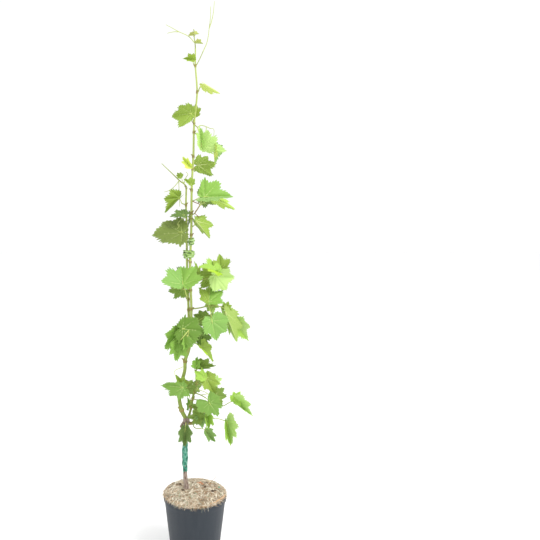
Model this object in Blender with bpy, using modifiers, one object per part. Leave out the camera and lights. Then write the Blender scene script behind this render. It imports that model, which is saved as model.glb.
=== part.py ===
"""A young grafted grapevine in a round pot, about 1.37 m tall: trunk, canes, shoots and leaf masses.

The origin is the centre of the pot's flat underside, +Z is up and -Y is the front.
Lengths in the tables are millimetres; plant heights are measured from the rim plane of the pot.
"""

import math

import bmesh
import bpy
import numpy as np
from mathutils.bvhtree import BVHTree

MM = 0.001
GAP = 0.3

# Pot and soil, heights above the underside.
RIM_HEIGHT = 165.0
RIM_RADIUS = 80.0
NECK_RADIUS = 77.4
FOOT_RADIUS = 60.0
WALL = 1.8
LIP_HEIGHT = 13.0
FLOOR = 2.6
POT_STEPS = 32
SOIL_FLAT = 46.0
SOIL_RISE = 11.0

# Limbs: (right, back, up, radius).
TRUNK = (
    (-22, 4, 11.5, 8.0),
    (-22, 4, 13.5, 7.4),
    (-22, 4.3, 17.5, 6.6),
    (-24, 7, 32, 5.6),
    (-25.5, 11, 62, 5.2),
    (-25.5, 14, 100, 5.0),
    (-24, 15, 150, 5.2),
    (-22, 15, 186, 6.5),
)
HEAD = (-22, 15, 188, 9.0)
STUB = ((-26, 13, 186, 3.6), (-32, 8, 181, 3.2), (-37, 5, 173, 2.8))
MAIN_CANE = (
    (-23, 15, 192, 5.2),
    (-28, 13, 202, 5.1),
    (-34, 11, 217, 5.0),
    (-40, 10, 250, 4.8),
    (-34, 9, 287, 4.6),
    (-26, 8, 320, 4.5),
    (-24, 8, 348, 4.3),
    (-13, 3, 387, 3.5),
    (-9, 0, 476, 3.2),
    (-12, -2, 560, 3.1),
    (-11, -2, 614, 3.0),
    (-9, -2, 672, 2.8),
    (-8, 0, 774, 2.6),
    (-4, 0, 850, 2.5),
    (-2, 0, 925, 2.3),
    (5, 0, 995, 2.1),
    (1, 0, 1060, 1.8),
    (1, 0, 1098, 1.6),
)
SECOND_CANE = (
    (-25, 8, 346, 3.6),
    (-22, 11, 362, 3.4),
    (-15, 13, 392, 3.2),
    (-16, 14, 475, 3.0),
    (-19, 12, 560, 2.8),
    (-20, 8, 614, 2.7),
    (-20, 10, 672, 2.5),
    (-22, 8, 735, 2.2),
    (-21, 8, 775, 2.0),
)
RIGHT_SHOOT = (
    (-19, 15, 190, 3.6),
    (-14, 15, 205, 3.3),
    (-10, 15, 222, 3.0),
    (-4, 13, 255, 2.8),
    (3, 12, 283, 2.6),
    (3, 10, 318, 2.2),
)
LOW_SPUR = (
    (-17, 13, 181, 3.0),
    (-9, 10, 182, 2.7),
    (0, 6, 190, 2.3),
    (8, 4, 203, 1.9),
)
WAX_HEIGHTS = (50, 174)
WAX_THICKNESS = 2.2

# Ribbon that ties the two canes, and the looser band above it.
TIE_CENTRE = (-15, 3.5, 614)
TIE_HALF_WIDTHS = (14.5, 13.5)
TIE_HEIGHT = 20.0
TIE_THICKNESS = 6.0
BAND_CENTRE = (-9, -2, 645)
BAND_RADIUS = 7.6
BAND_HEIGHT = 17.0
BAND_THICKNESS = 5.0

# Leaf outline about the stalk's end: degrees from the tip, share of the length, and the
# least detail that shows the point: 1 in every leaf, 3 only in long ones.
OUTLINE = (
    (0, 1.00, 1),
    (16, 0.76, 3),
    (25, 0.64, 1),
    (42, 0.88, 1),
    (60, 0.62, 2),
    (88, 0.68, 1),
    (104, 0.54, 3),
    (122, 0.46, 2),
    (150, 0.34, 1),
    (180, 0.08, 1),
)
FAN_POINT = 0.30
LOBE_ANGLES = (43, 86, 138)
LEAF_THICKNESS = 1.0
STALK_RADIUS = 1.0

# Masses: the stem (right, back, up, radius); the leaves (stem point, seat right, back, up,
# length, facing angle from the front to the right, facing angle upwards, clock angle of the
# tip, fold of the left and right half, droop, and where a leaf has its own form, the growth of
# its lobes: first, side and base lobe on the left, then on the right); the tendrils (right,
# back, up).
MASSES = {
    "leaves_tip": (
        ((1, 0, 1098.3, 1.4), (0, 0, 1110, 1.2), (-2, 0, 1124, 1.1), (-3, 0, 1142, 0.9)),
        (
            (2, -6, -1, 1128, 12, -20, 30, 280, 40, 40, 10),
            (2, 1, -1, 1130, 12, 20, 40, 65, 45, 45, 10),
            (1, 5, -4, 1109, 15, 0, 20, 91, 30, 78, 10),
        ),
        (
            ((0, 0, 1110), (-15, -2, 1125), (-37, -3, 1135), (-52, -3, 1143), (-68, -3, 1151)),
            ((-37, -3, 1135), (-50, -3, 1135), (-65, -2, 1132)),
        ),
    ),
    "leaf_top_left": (
        ((-0.5, -1, 1056, 1.2), (-4, -1, 1064, 1.1)),
        (
            (1, -3, -8, 1070, 26, 0, 10, 281, 56, 60, 15, (1, 1, 0.6, 1, 1, 0.6)),
        ),
        (),
    ),
    "tendril_top_right": (
        ((1, 0, 1056, 1.2), (10, -1, 1072, 1.0), (19, -2, 1091, 1.0)),
        (),
        (
            (
                (19, -2, 1091),
                (27, -3, 1108),
                (31, -3, 1125),
                (33, -3, 1142),
                (36, -2, 1168),
                (36, -2, 1192),
            ),
            ((33, -3, 1142), (39, -4, 1160), (43, -4, 1180), (45, -4, 1203)),
        ),
    ),
    "leaf_top_right": (
        ((6, -1, 996, 1.2), (12, -5, 1010, 1.1)),
        (
            (1, 24, -8, 1014, 40, 180, 0, 239, 70, 80, 10),
        ),
        (),
    ),
    "leaf_upper_left": (
        ((-3, -1, 926, 1.2), (-5, -8, 934, 1.1)),
        (
            (1, -9, -14, 947, 48, -5, 0, 265, 5, 40, 10, (1.0, 0.45, 0.35, 0.85, 0.8, 0.6)),
        ),
        (),
    ),
    "leaf_upper_back": (
        ((-1, 1, 932, 1.2), (0, 8, 941, 1.1)),
        (
            (1, 0, 24, 948, 28, 0, 0, 6, 30, 40, 10, (1, 1, 0.6, 1, 0.7, 0.5)),
        ),
        (),
    ),
    "leaves_upper_right": (
        ((-1, -1, 922, 1.2), (6, -4, 916, 1.2), (12, -10, 902, 1.1)),
        (
            (2, 20, -22, 871, 56, 5, 10, 100, 22, -50, 10, (0.75, 1.0, 0.4, 0.45, 0.4, 0.4)),
            (2, 43, -5, 870, 40, 40, 5, 168, 35, 72, 10, (0.85, 0.8, 0.7, 1, 1, 0.8)),
            (1, 15, -28, 870, 47, 12, 5, 358, 60, 66, 8, (1, 0.8, 0.6, 1, 0.8, 0.6)),
        ),
        (
            ((6, -4, 916), (14, -3, 921), (27, -3, 918), (36, -3, 914), (45, -3, 911), (44, -3, 888)),
            ((27, -3, 918), (26, -3, 908), (21, -3, 894)),
        ),
    ),
    "leaf_upper_right_back": (
        ((-1, 1, 905, 1.2), (8, 13, 897, 1.1)),
        (
            (1, 29, 24, 880, 25, 175, 10, 249, 15, 15, 15),
        ),
        (),
    ),
    "leaf_node_right": (
        ((-4, 1, 842, 1.2), (1, 11, 836, 1.1)),
        (
            (1, 8, 19, 829, 44, 178, 0, 275, 5, 32, 10, (1.1, 0.62, 0.8, 0.9, 0.95, 0.8)),
        ),
        (),
    ),
    "leaf_node_left": (
        ((-5, -1, 818, 1.1), (-9, -5, 820, 1.0)),
        (
            (1, -11, -8, 824, 32, 0, 10, 323, 55, 75, 10, (1.05, 0.95, 0.4, 1, 0.6, 0.3)),
        ),
        (),
    ),
    "leaf_node_small": (
        ((-8, -1, 768, 1.1), (-8, -7, 773, 1.0)),
        (
            (1, -9, -12, 782, 22, 0, 10, 308, 68, 12, 10, (1, 1, 0.6, 0.9, 1, 0.8)),
        ),
        (),
    ),
    "leaves_second_tip": (
        (
            (-21, 8, 775.4, 1.7),
            (-21.5, 8, 778, 1.6),
            (-27, 7, 784, 1.5),
            (-38, 6, 792, 1.4),
            (-60, 2, 813, 1.1),
            (-80, 0, 832, 0.8),
        ),
        (
            (2, -35, 0, 800, 14, 0, 20, 325, 35, 35, 10),
        ),
        (
            ((-38, 6, 792), (-49, 3, 778), (-62, 1, 768), (-74, 0, 764)),
            ((-38, 6, 792), (-39, 4, 784), (-38, 3, 761), (-37, 4, 729)),
            ((-27, 7, 784), (-22, 2, 798), (-17, -2, 806), (-22, -3, 812)),
        ),
    ),
    "leaves_right_top": (
        ((-6, -2, 710, 1.4), (0, -5, 714, 1.3), (11, -8, 731, 1.3)),
        (
            (2, 22, -20, 752, 72, 5, 25, 85, 22, 48, 15, (0.88, 0.85, 0.5, 0.62, 0.6, 0.85)),
            (2, 47, 2, 749, 56, 180, 0, 242, 70, 72, 10, (1, 0.8, 0.6, 1, 0.8, 0.6)),
        ),
        (),
    ),
    "leaf_right_top_back": (
        ((-7, 1, 742, 1.3), (3, 22, 746, 1.2)),
        (
            (1, 20, 46, 754, 42, 180, 5, 278, 15, 15, 15),
        ),
        (),
    ),
    "leaf_left_top": (
        ((-22, 7, 733, 1.3), (-32, 1, 737, 1.2)),
        (
            (1, -38, -5, 750, 50, -5, 10, 224, 78, 40, 10, (1, 1, 0.8, 0.9, 0.9, 0.85)),
        ),
        (),
    ),
    "leaf_left_small": (
        ((-10, -2, 703, 1.3), (-16, -8, 705, 1.2)),
        (
            (1, -26, -17, 709, 34, 0, 65, 272, 15, 15, 10),
        ),
        (),
    ),
    "leaves_left_back": (
        ((-9, 0, 700, 1.3), (-11, 14, 704, 1.2)),
        (
            (1, -14, 25, 708, 33, 85, 0, 180, 10, 10, 10),
            (1, -34, 36, 662, 42, 180, 10, 90, 15, 15, 15),
        ),
        (),
    ),
    "leaf_right_small": (
        ((-8, -3, 680, 1.3), (-2, -11, 684, 1.2)),
        (
            (1, 3, -18, 695, 54, 170, 0, 220, 70, 46, 10, (1, 1, 0.5, 1.0, 0.75, 0.5)),
        ),
        (),
    ),
    "leaf_left_large": (
        ((-20, 9, 654, 1.5), (-25, -13, 657, 1.4)),
        (
            (1, -31, -28, 669, 72, 0, 55, 269, 5, 5, 10, (1, 1, 0.55, 1, 1, 0.6)),
        ),
        (),
    ),
    "leaves_right_high": (
        ((-12, -1, 545, 1.5), (15, 0, 550, 1.4), (42, -2, 558, 1.4)),
        (
            (1, 5, 15, 558, 34, 75, 0, 0, 20, 20, 10),
            (2, 61, 0, 573, 42, 5, 5, 359, 45, 15, 10, (1, 0.8, 0.5, 1.05, 0.65, 0.5)),
            (2, 56, -25, 574, 49, 90, 66, 352, -10, 42, 10, (0.9, 0.8, 0.6, 1.05, 0.8, 0.5)),
            (2, 48, -18, 564, 51, 10, 5, 98, 50, 0, 10, (1, 0.6, 0.5, 1.05, 1.05, 0.7)),
            (2, 50, 20, 565, 52, -5, 5, 223, 0, 20, 10),
            (2, 45, 40, 555, 34, 180, 5, 248, 15, 15, 15),
        ),
        (),
    ),
    "leaves_left_high": (
        ((-17, 12, 500, 1.5), (-20, 0, 505, 1.4), (-21, -15, 513, 1.4)),
        (
            (2, -29, -45, 547, 62, 0, 32, 355, 25, 22, 10, (0.95, 1.25, 0.6, 1, 1.15, 0.7)),
            (1, -29, -2, 528, 38, 0, 20, 262, 25, 45, 10),
        ),
        (),
    ),
    "leaf_left_high_back": (
        ((-17, 14, 520, 1.4), (-20, 24, 532, 1.3)),
        (
            (1, -26, 34, 542, 44, 180, 10, 20, 15, 15, 15),
        ),
        (),
    ),
    "leaves_right_mid": (
        (
            (-9, 0, 478, 1.7),
            (12, -6, 482, 1.6),
            (34, -12, 488, 1.5),
            (55, -8, 487, 1.4),
            (72, 0, 480, 1.3),
            (88, 12, 466, 1.2),
        ),
        (
            (2, 33, -22, 501, 51, 0, 35, 9, 8, 5, 10, (0.9, 0.6, 0.3, 1, 0.95, 0.35)),
            (2, 37, -5, 494, 30, 160, -10, 205, 30, 30, 30),
            (2, 41, -35, 455, 48, 0, 10, 168, 8, 15, 10, (1.05, 1.15, 1.25, 0.8, 0.75, 0.9)),
            (4, 75, -5, 470, 76, 160, -15, 209, 64, 69, 10, (1, 0.9, 0.7, 1, 0.9, 0.7)),
            (4, 77, 15, 477, 19, 0, 0, 20, 15, 15, 10),
            (5, 100, 22, 443, 58, 10, 10, 146, 50, 35, 10, (0.9, 0.7, 0.5, 1, 0.8, 0.7)),
        ),
        (),
    ),
    "leaves_right_mid_back": (
        ((-10, 1, 438, 1.4), (4, 9, 442, 1.3), (20, 22, 446, 1.2)),
        (
            (1, 25, 15, 455, 30, 0, 5, 280, 35, 35, 10),
            (2, 34, 38, 450, 40, 180, 5, 170, 15, 15, 15),
        ),
        (),
    ),
    "leaves_left_mid": (
        ((-11, -1, 445, 1.6), (-12, -20, 442, 1.5), (-14, -38, 436, 1.4), (-16, -52, 425, 1.3)),
        (
            (2, -30, -45, 438, 54, 5, 15, 97, 15, 8, 10, (0.95, 0.75, 0.7, 1, 1, 0.9)),
            (2, -35, -23, 428, 59, -10, 25, 220, 21, 66, 10, (1, 1, 0.8, 0.9, 0.72, 0.5)),
            (3, -39, -38, 402, 46, 0, 5, 190, 30, 52, 10, (1, 0.9, 0.7, 1, 0.9, 0.7)),
            (3, -23, -50, 410, 28, 30, 0, 172, 40, 40, 10),
        ),
        (),
    ),
    "leaf_left_mid_back": (
        ((-15, 13, 430, 1.4), (-20, 24, 430, 1.3)),
        (
            (1, -19, 36, 414, 35, 180, 10, 122, 15, 15, 15),
        ),
        (),
    ),
    "leaves_centre": (
        ((-12, 2, 404, 1.4), (0, 2, 408, 1.3)),
        (
            (1, 12, 5, 414, 38, 15, 10, 155, 5, 40, 10),
            (1, 11, -10, 389, 55, 90, 48, 183, 55, 5, 10, (0.8, 0.65, 0.7, 0.7, 0.7, 0.8)),
        ),
        (),
    ),
    "leaves_right_tip": (
        ((3, 10, 318.3, 1.7), (3, 9, 328, 1.4), (2, 8, 340, 1.1)),
        (
            (1, 4, -10, 336, 24, -10, 5, 2, 48, 48, 10, (1, 1, 0.8, 1, 1, 0.8)),
            (1, 10, 16, 326, 42, 10, 20, 87, 45, 76, 10, (1, 1, 0.9, 1, 1, 0.9)),
        ),
        (),
    ),
    "leaves_left_low": (
        ((-34, 8, 284, 1.5), (-32, -3, 284, 1.4), (-28, -12, 286, 1.3)),
        (
            (2, -30, -25, 287, 56, -10, 43, 276, 0, 30, 10, (0.78, 0.75, 1.1, 0.35, 0.4, 0.5)),
            (1, -23, -10, 282, 28, 0, 10, 87, 5, 5, 10, (1, 1, 0.8, 1, 1, 0.9)),
            (1, -32, -5, 284, 32, 0, 0, 329, 66, 25, 10, (1, 0.9, 0.6, 1, 1.1, 0.6)),
        ),
        (),
    ),
    "leaves_low_back": (
        ((-6, 14, 240, 1.4), (-11, 23, 238, 1.3)),
        (
            (1, -15, 26, 219, 24, 50, 0, 355, 20, 20, 10),
            (1, -24, 32, 265, 24, 180, 5, 88, 15, 15, 15),
        ),
        (),
    ),
    "leaves_low_right_back": (
        ((0, 12, 268, 1.4), (8, 20, 267, 1.3)),
        (
            (1, 0, 29, 274, 29, 45, 0, 99, 10, 10, 10),
            (1, 45, 30, 243, 26, 180, 5, 240, 15, 15, 15),
        ),
        (),
    ),
    "leaves_low_front": (
        ((3, 10, 286, 1.4), (12, 0, 286, 1.3), (24, -11, 288, 1.3)),
        (
            (2, 27, -24, 309, 46, 0, 5, 151, 10, 35, 10, (0.85, 0.8, 1.0, 0.7, 0.55, 0.9)),
            (2, 24, -30, 314, 30, 0, 20, 300, 30, 25, 10, (1, 0.7, 0.5, 0.9, 0.5, 0.5)),
            (2, 49, -2, 295, 20, 0, 15, 70, 15, 15, 10),
        ),
        (),
    ),
    "leaves_low_mid": (
        ((-2, 12, 262, 1.5), (14, -8, 262, 1.4), (27, -28, 261, 1.3)),
        (
            (2, 35, -45, 254, 38, 0, 12, 143, 5, 5, 10, (1, 1.05, 1.7, 0.9, 1.2, 2.0)),
            (1, 49, 5, 257, 32, 5, 10, 98, 5, 5, 10, (1.1, 1, 0.8, 1.1, 1, 0.8)),
        ),
        (),
    ),
    "leaves_low_far": (
        (
            (-6, 13, 246, 1.4),
            (8, -2, 246, 1.3),
            (40, -10, 238, 1.2),
            (66, -14, 235, 1.1),
            (84, -17, 245, 1.1),
        ),
        (
            (4, 96, -20, 250, 59, 10, 20, 129, 64, 80, 10, (1, 1, 0.8, 1, 0.8, 0.6)),
            (4, 96, -28, 254, 28, 10, 10, 39, 25, 15, 10, (1, 0.9, 0.6, 1.05, 1, 0.6)),
        ),
        (),
    ),
    "leaves_spur": (
        ((8.2, 3.9, 203.4, 1.6), (12, 2, 208, 1.5), (20, -4, 206, 1.3), (27, -8, 202, 1.2)),
        (
            (1, 23, -3, 214, 42, -10, 10, 298, 60, 12, 10, (0.85, 0.8, 0.7, 1, 1, 0.9)),
            (1, 16, -5, 205, 29, 0, 20, 175, 32, 32, 10, (1, 1, 0.8, 1, 1, 0.8)),
            (3, 29, -26, 220, 43, 20, 0, 171, 76, 62, 10, (1, 0.9, 0.7, 1, 0.9, 0.7)),
            (3, 80, -10, 194, 66, -10, 0, 172, 48, 86, 10, (0.82, 0.95, 1.3, 1, 0.6, 0.4)),
            (1, 13, -9, 207, 30, 0, 15, 267, 20, 20, 10, (1, 1, 0.8, 1, 1, 0.8)),
        ),
        (),
    ),
    "leaf_spur_low": (
        ((-6, 8, 181, 1.3), (0, 0, 174, 1.2), (14, -2, 173, 1.1)),
        (
            (2, 28, 8, 164, 40, 0, 5, 143, 50, 70, 10, (1, 0.95, 0.5, 1, 0.6, 0.3)),
        ),
        (),
    ),
    "leaf_head": (
        ((-22, 9, 186, 1.4), (-23, 1, 185, 1.3)),
        (
            (1, -25, -5, 172, 46, -5, 5, 182, 50, 65, 10, (1, 1, 0.9, 1, 1, 0.9)),
        ),
        (),
    ),
}

COLOURS = {
    "pot_plastic": (0.07, 0.08, 0.09),
    "soil": (0.30, 0.22, 0.13),
    "bark": (0.22, 0.16, 0.11),
    "wax": (0.06, 0.30, 0.22),
    "cane_bark": (0.42, 0.50, 0.17),
    "ribbon": (0.38, 0.66, 0.30),
    "leaf": (0.16, 0.35, 0.07),
}


def clear_scene():
    for obj in list(bpy.data.objects):
        bpy.data.objects.remove(obj, do_unlink=True)


def new_collection(name, hidden=False):
    made = bpy.data.collections.new(name)
    bpy.context.scene.collection.children.link(made)
    made.hide_render = hidden
    return made


def material(name):
    made = bpy.data.materials.get(name)
    if made is None:
        made = bpy.data.materials.new(name)
        made.use_nodes = True
        shader = made.node_tree.nodes["Principled BSDF"]
        shader.inputs["Base Color"].default_value = (*COLOURS[name], 1.0)
        shader.inputs["Roughness"].default_value = 0.6
    return made


def finish(obj, name, slot, angle=40):
    """Names the object, gives it its material and shades its round faces smooth."""
    obj.name = name
    obj.data.name = name
    obj.data.materials.clear()
    obj.data.materials.append(material(slot))
    for face in obj.data.polygons:
        face.use_smooth = True
    obj.data.set_sharp_from_angle(angle=math.radians(angle))
    return obj


def link_mesh(name, mesh, home):
    obj = bpy.data.objects.new(name, mesh)
    home.objects.link(obj)
    return obj


def baked(obj):
    """The object with its modifiers applied, its points welded and its faces outwards."""
    graph = bpy.context.evaluated_depsgraph_get()
    mesh = bpy.data.meshes.new_from_object(obj.evaluated_get(graph))
    work = bmesh.new()
    work.from_mesh(mesh)
    work.transform(obj.matrix_world)
    bmesh.ops.remove_doubles(work, verts=work.verts, dist=0.0000002)
    bmesh.ops.recalc_face_normals(work, faces=work.faces)
    work.to_mesh(mesh)
    work.free()
    home = obj.users_collection[0]
    name = obj.name
    bpy.data.objects.remove(obj, do_unlink=True)
    return link_mesh(name, mesh, home)


def smooth_path(rows, steps):
    """Points of a Catmull-Rom curve through the rows, with this many steps to a span."""
    rows = np.array(rows, float)
    ends = np.vstack((2 * rows[0] - rows[1], rows, 2 * rows[-1] - rows[-2]))
    out = []
    for k in range(len(rows) - 1):
        a, b, c, d = ends[k : k + 4]
        for t in np.arange(steps) / steps:
            tight = 2 * b + (c - a) * t + (2 * a - 5 * b + 4 * c - d) * t**2
            out.append((tight + (3 * b - a - 3 * c + d) * t**3) / 2)
    out.append(rows[-1])
    return np.array(out)


def tube(name, rows, home, resolution=0, extra=0.0):
    """A tapering round bar along rows (right, back, up, radius), radius grown by extra."""
    curve = bpy.data.curves.new(name, "CURVE")
    curve.dimensions = "3D"
    curve.bevel_depth = MM
    curve.bevel_resolution = resolution
    curve.use_fill_caps = True
    spline = curve.splines.new("POLY")
    spline.points.add(len(rows) - 1)
    for point, (x, y, up, radius) in zip(spline.points, rows):
        point.co = (x * MM, y * MM, (up + RIM_HEIGHT) * MM, 1.0)
        point.radius = radius + extra
    obj = bpy.data.objects.new(name, curve)
    home.objects.link(obj)
    bpy.context.view_layer.update()
    return baked(obj)


def turned(name, profile, steps, home):
    """A solid of revolution: the profile (radius, height) runs down the outer side."""
    mesh = bpy.data.meshes.new(name)
    points = [(radius * MM, 0.0, height * MM) for radius, height in profile]
    mesh.from_pydata(points, [(k, k + 1) for k in range(len(points) - 1)], [])
    obj = link_mesh(name, mesh, home)
    screw = obj.modifiers.new("turn", "SCREW")
    screw.steps = steps
    screw.render_steps = steps
    screw.use_merge_vertices = True
    screw.merge_threshold = 0.00005
    screw.use_smooth_shade = True
    return baked(obj)


def boolean(obj, kind, collection=None, other=None, solver="EXACT"):
    step = obj.modifiers.new(kind.lower(), "BOOLEAN")
    step.operation = kind
    step.solver = solver
    if collection is not None:
        step.operand_type = "COLLECTION"
        step.collection = collection
    else:
        step.object = other


def growth(row, degrees):
    """How far the leaf's own lobes outgrow the common outline, by degrees left of the tip."""
    shares = row[11] if len(row) > 11 else (1,) * 6
    left, right = shares[:3], shares[3:]
    places = (-180, *(-angle for angle in LOBE_ANGLES[::-1]), 0, *LOBE_ANGLES, 180)
    return np.interp(degrees, places, (1, *right[::-1], 1, *left, 1))


def outline(row):
    """The leaf's lobed outline about the stalk's end, as shares of the length."""
    detail = 3 if row[4] > 62 else 2 if row[4] > 40 else 1
    half = [(angle, share) for angle, share, least in OUTLINE if least <= detail]
    whole = half + [(-angle, share) for angle, share in half[-2:0:-1]]
    angles, reach = np.array(whole).T
    reach = reach * growth(row, angles)
    return reach * np.cos(np.radians(angles)), reach * np.sin(np.radians(angles))


def leaf_axes(facing, rise, clock):
    """Directions of the leaf's tip, its left side and its upper face."""
    a, e, c = map(math.radians, (facing, rise, clock))
    face = np.array((math.sin(a) * math.cos(e), -math.cos(a) * math.cos(e), math.sin(e)))
    up = np.array((-math.sin(a) * math.sin(e), math.cos(a) * math.sin(e), math.cos(e)))
    tip = math.cos(c) * up + math.sin(c) * np.cross(up, face)
    return tip, np.cross(face, tip), face


def on_blade(row, x, y):
    """Points of the blade: each half folded up about the midrib, then all bent down along it."""
    _, right, back, up, length, facing, rise, clock, left_fold, right_fold, droop = row[:11]
    fold = np.radians(np.where(y > 0, left_fold, right_fold))
    bend = math.radians(droop)
    side = y * np.cos(fold)
    lift = np.abs(y) * np.sin(fold)
    along = np.sin(x * bend) / bend - lift * np.sin(x * bend)
    height = (np.cos(x * bend) - 1) / bend + lift * np.cos(x * bend)
    tip, left, face = leaf_axes(facing, rise, clock)
    spread = np.outer(along, tip) + np.outer(side, left) + np.outer(height, face)
    return np.array((right, back, up)) + length * spread


def leaf(name, row, home):
    """A leaf blade as a thin solid: a fan about a point on the midrib, thickened."""
    x, y = outline(row)
    points = on_blade(row, np.append(FAN_POINT, x), np.append(0.0, y))
    points[:, 2] += RIM_HEIGHT
    count = len(x)
    faces = [(0, 1 + k, 1 + (k + 1) % count) for k in range(count)]
    mesh = bpy.data.meshes.new(name)
    mesh.from_pydata((points * MM).tolist(), [], faces)
    obj = link_mesh(name, mesh, home)
    thick = obj.modifiers.new("thickness", "SOLIDIFY")
    thick.thickness = LEAF_THICKNESS * MM
    thick.offset = 0.0
    return baked(obj)


def stalk_path(start, row):
    """Rows of a leaf's stalk from its stem to a little way into the blade's midrib."""
    seat = np.array(row[1:4], float)
    run = seat - start
    middle = start + run * 0.5 + np.array((0, 0, 0.08 * np.linalg.norm(run)))
    inner = on_blade(row, np.array((0.07, 0.15)), np.array((0.006, 0.004)))
    radius = STALK_RADIUS * min(1.1, 0.75 + row[4] / 200)
    points = (start, middle, seat, *inner)
    return [(*point, radius) for point in points]


def tree_of(obj):
    work = bmesh.new()
    work.from_mesh(obj.data)
    made = BVHTree.FromBMesh(work)
    work.free()
    return made


def largest_piece(obj):
    """Drops loose scrap: only the piece with the most points stays."""
    work = bmesh.new()
    work.from_mesh(obj.data)
    left = set(work.verts)
    best = []
    while left:
        seed = left.pop()
        piece = [seed]
        stack = [seed]
        while stack:
            for edge in stack.pop().link_edges:
                for vert in edge.verts:
                    if vert in left:
                        left.remove(vert)
                        piece.append(vert)
                        stack.append(vert)
        if len(piece) > len(best):
            best = piece
    keep = set(best)
    bmesh.ops.delete(work, geom=[v for v in work.verts if v not in keep], context="VERTS")
    work.to_mesh(obj.data)
    work.free()


def make_pot(home):
    taper = (NECK_RADIUS - FOOT_RADIUS) / (RIM_HEIGHT - LIP_HEIGHT)
    neck = RIM_HEIGHT - LIP_HEIGHT
    profile = (
        (0, FLOOR),
        (FOOT_RADIUS - WALL + FLOOR * taper, FLOOR),
        (NECK_RADIUS - WALL, neck - 1),
        (RIM_RADIUS - WALL - 0.6, neck + 1.5),
        (RIM_RADIUS - WALL - 0.6, RIM_HEIGHT - 0.8),
        (RIM_RADIUS - WALL, RIM_HEIGHT),
        (RIM_RADIUS - 0.8, RIM_HEIGHT),
        (RIM_RADIUS, RIM_HEIGHT - 0.8),
        (RIM_RADIUS, neck + 0.8),
        (RIM_RADIUS - 0.8, neck),
        (NECK_RADIUS, neck - 1),
        (FOOT_RADIUS + 1.5 * taper, 1.5),
        (FOOT_RADIUS - 1.5, 0),
        (0, 0),
    )
    finish(turned("pot", profile, POT_STEPS, home), "pot", "pot_plastic", 35)


def make_soil(home):
    neck = RIM_HEIGHT - LIP_HEIGHT
    taper = (NECK_RADIUS - FOOT_RADIUS) / neck
    inner = RIM_RADIUS - WALL - 0.6 - GAP
    profile = (
        (0, RIM_HEIGHT + SOIL_RISE),
        (SOIL_FLAT, RIM_HEIGHT + SOIL_RISE),
        (62, RIM_HEIGHT + 8.2),
        (73, RIM_HEIGHT + 4.2),
        (RIM_RADIUS - 0.7, RIM_HEIGHT + 1.6),
        (RIM_RADIUS - 0.5, RIM_HEIGHT + GAP),
        (inner, RIM_HEIGHT + GAP),
        (inner, neck + 1.7),
        (NECK_RADIUS - WALL - GAP, neck - 1.2),
        (FOOT_RADIUS - WALL + FLOOR * taper - GAP, FLOOR + GAP),
        (0, FLOOR + GAP),
    )
    finish(turned("soil", profile, POT_STEPS, home), "soil", "soil", 50)


def ring(name, centre, half_widths, height, thickness, home):
    """An upright band: an open oval wall, thickened inwards."""
    bpy.ops.mesh.primitive_cylinder_add(vertices=20, radius=1.0, depth=1.0, end_fill_type="NOTHING")
    obj = bpy.context.active_object
    for old in list(obj.users_collection):
        old.objects.unlink(obj)
    home.objects.link(obj)
    x, y, up = centre
    obj.location = (x * MM, y * MM, (up + RIM_HEIGHT) * MM)
    obj.data.transform(obj.matrix_world.inverted())
    for vert in obj.data.vertices:
        vert.co.x *= half_widths[0] * MM
        vert.co.y *= half_widths[1] * MM
        vert.co.z *= height * MM
    wall = obj.modifiers.new("wall", "SOLIDIFY")
    wall.thickness = thickness * MM
    wall.offset = -1.0
    bpy.context.view_layer.update()
    obj.name = name
    return baked(obj)


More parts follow.
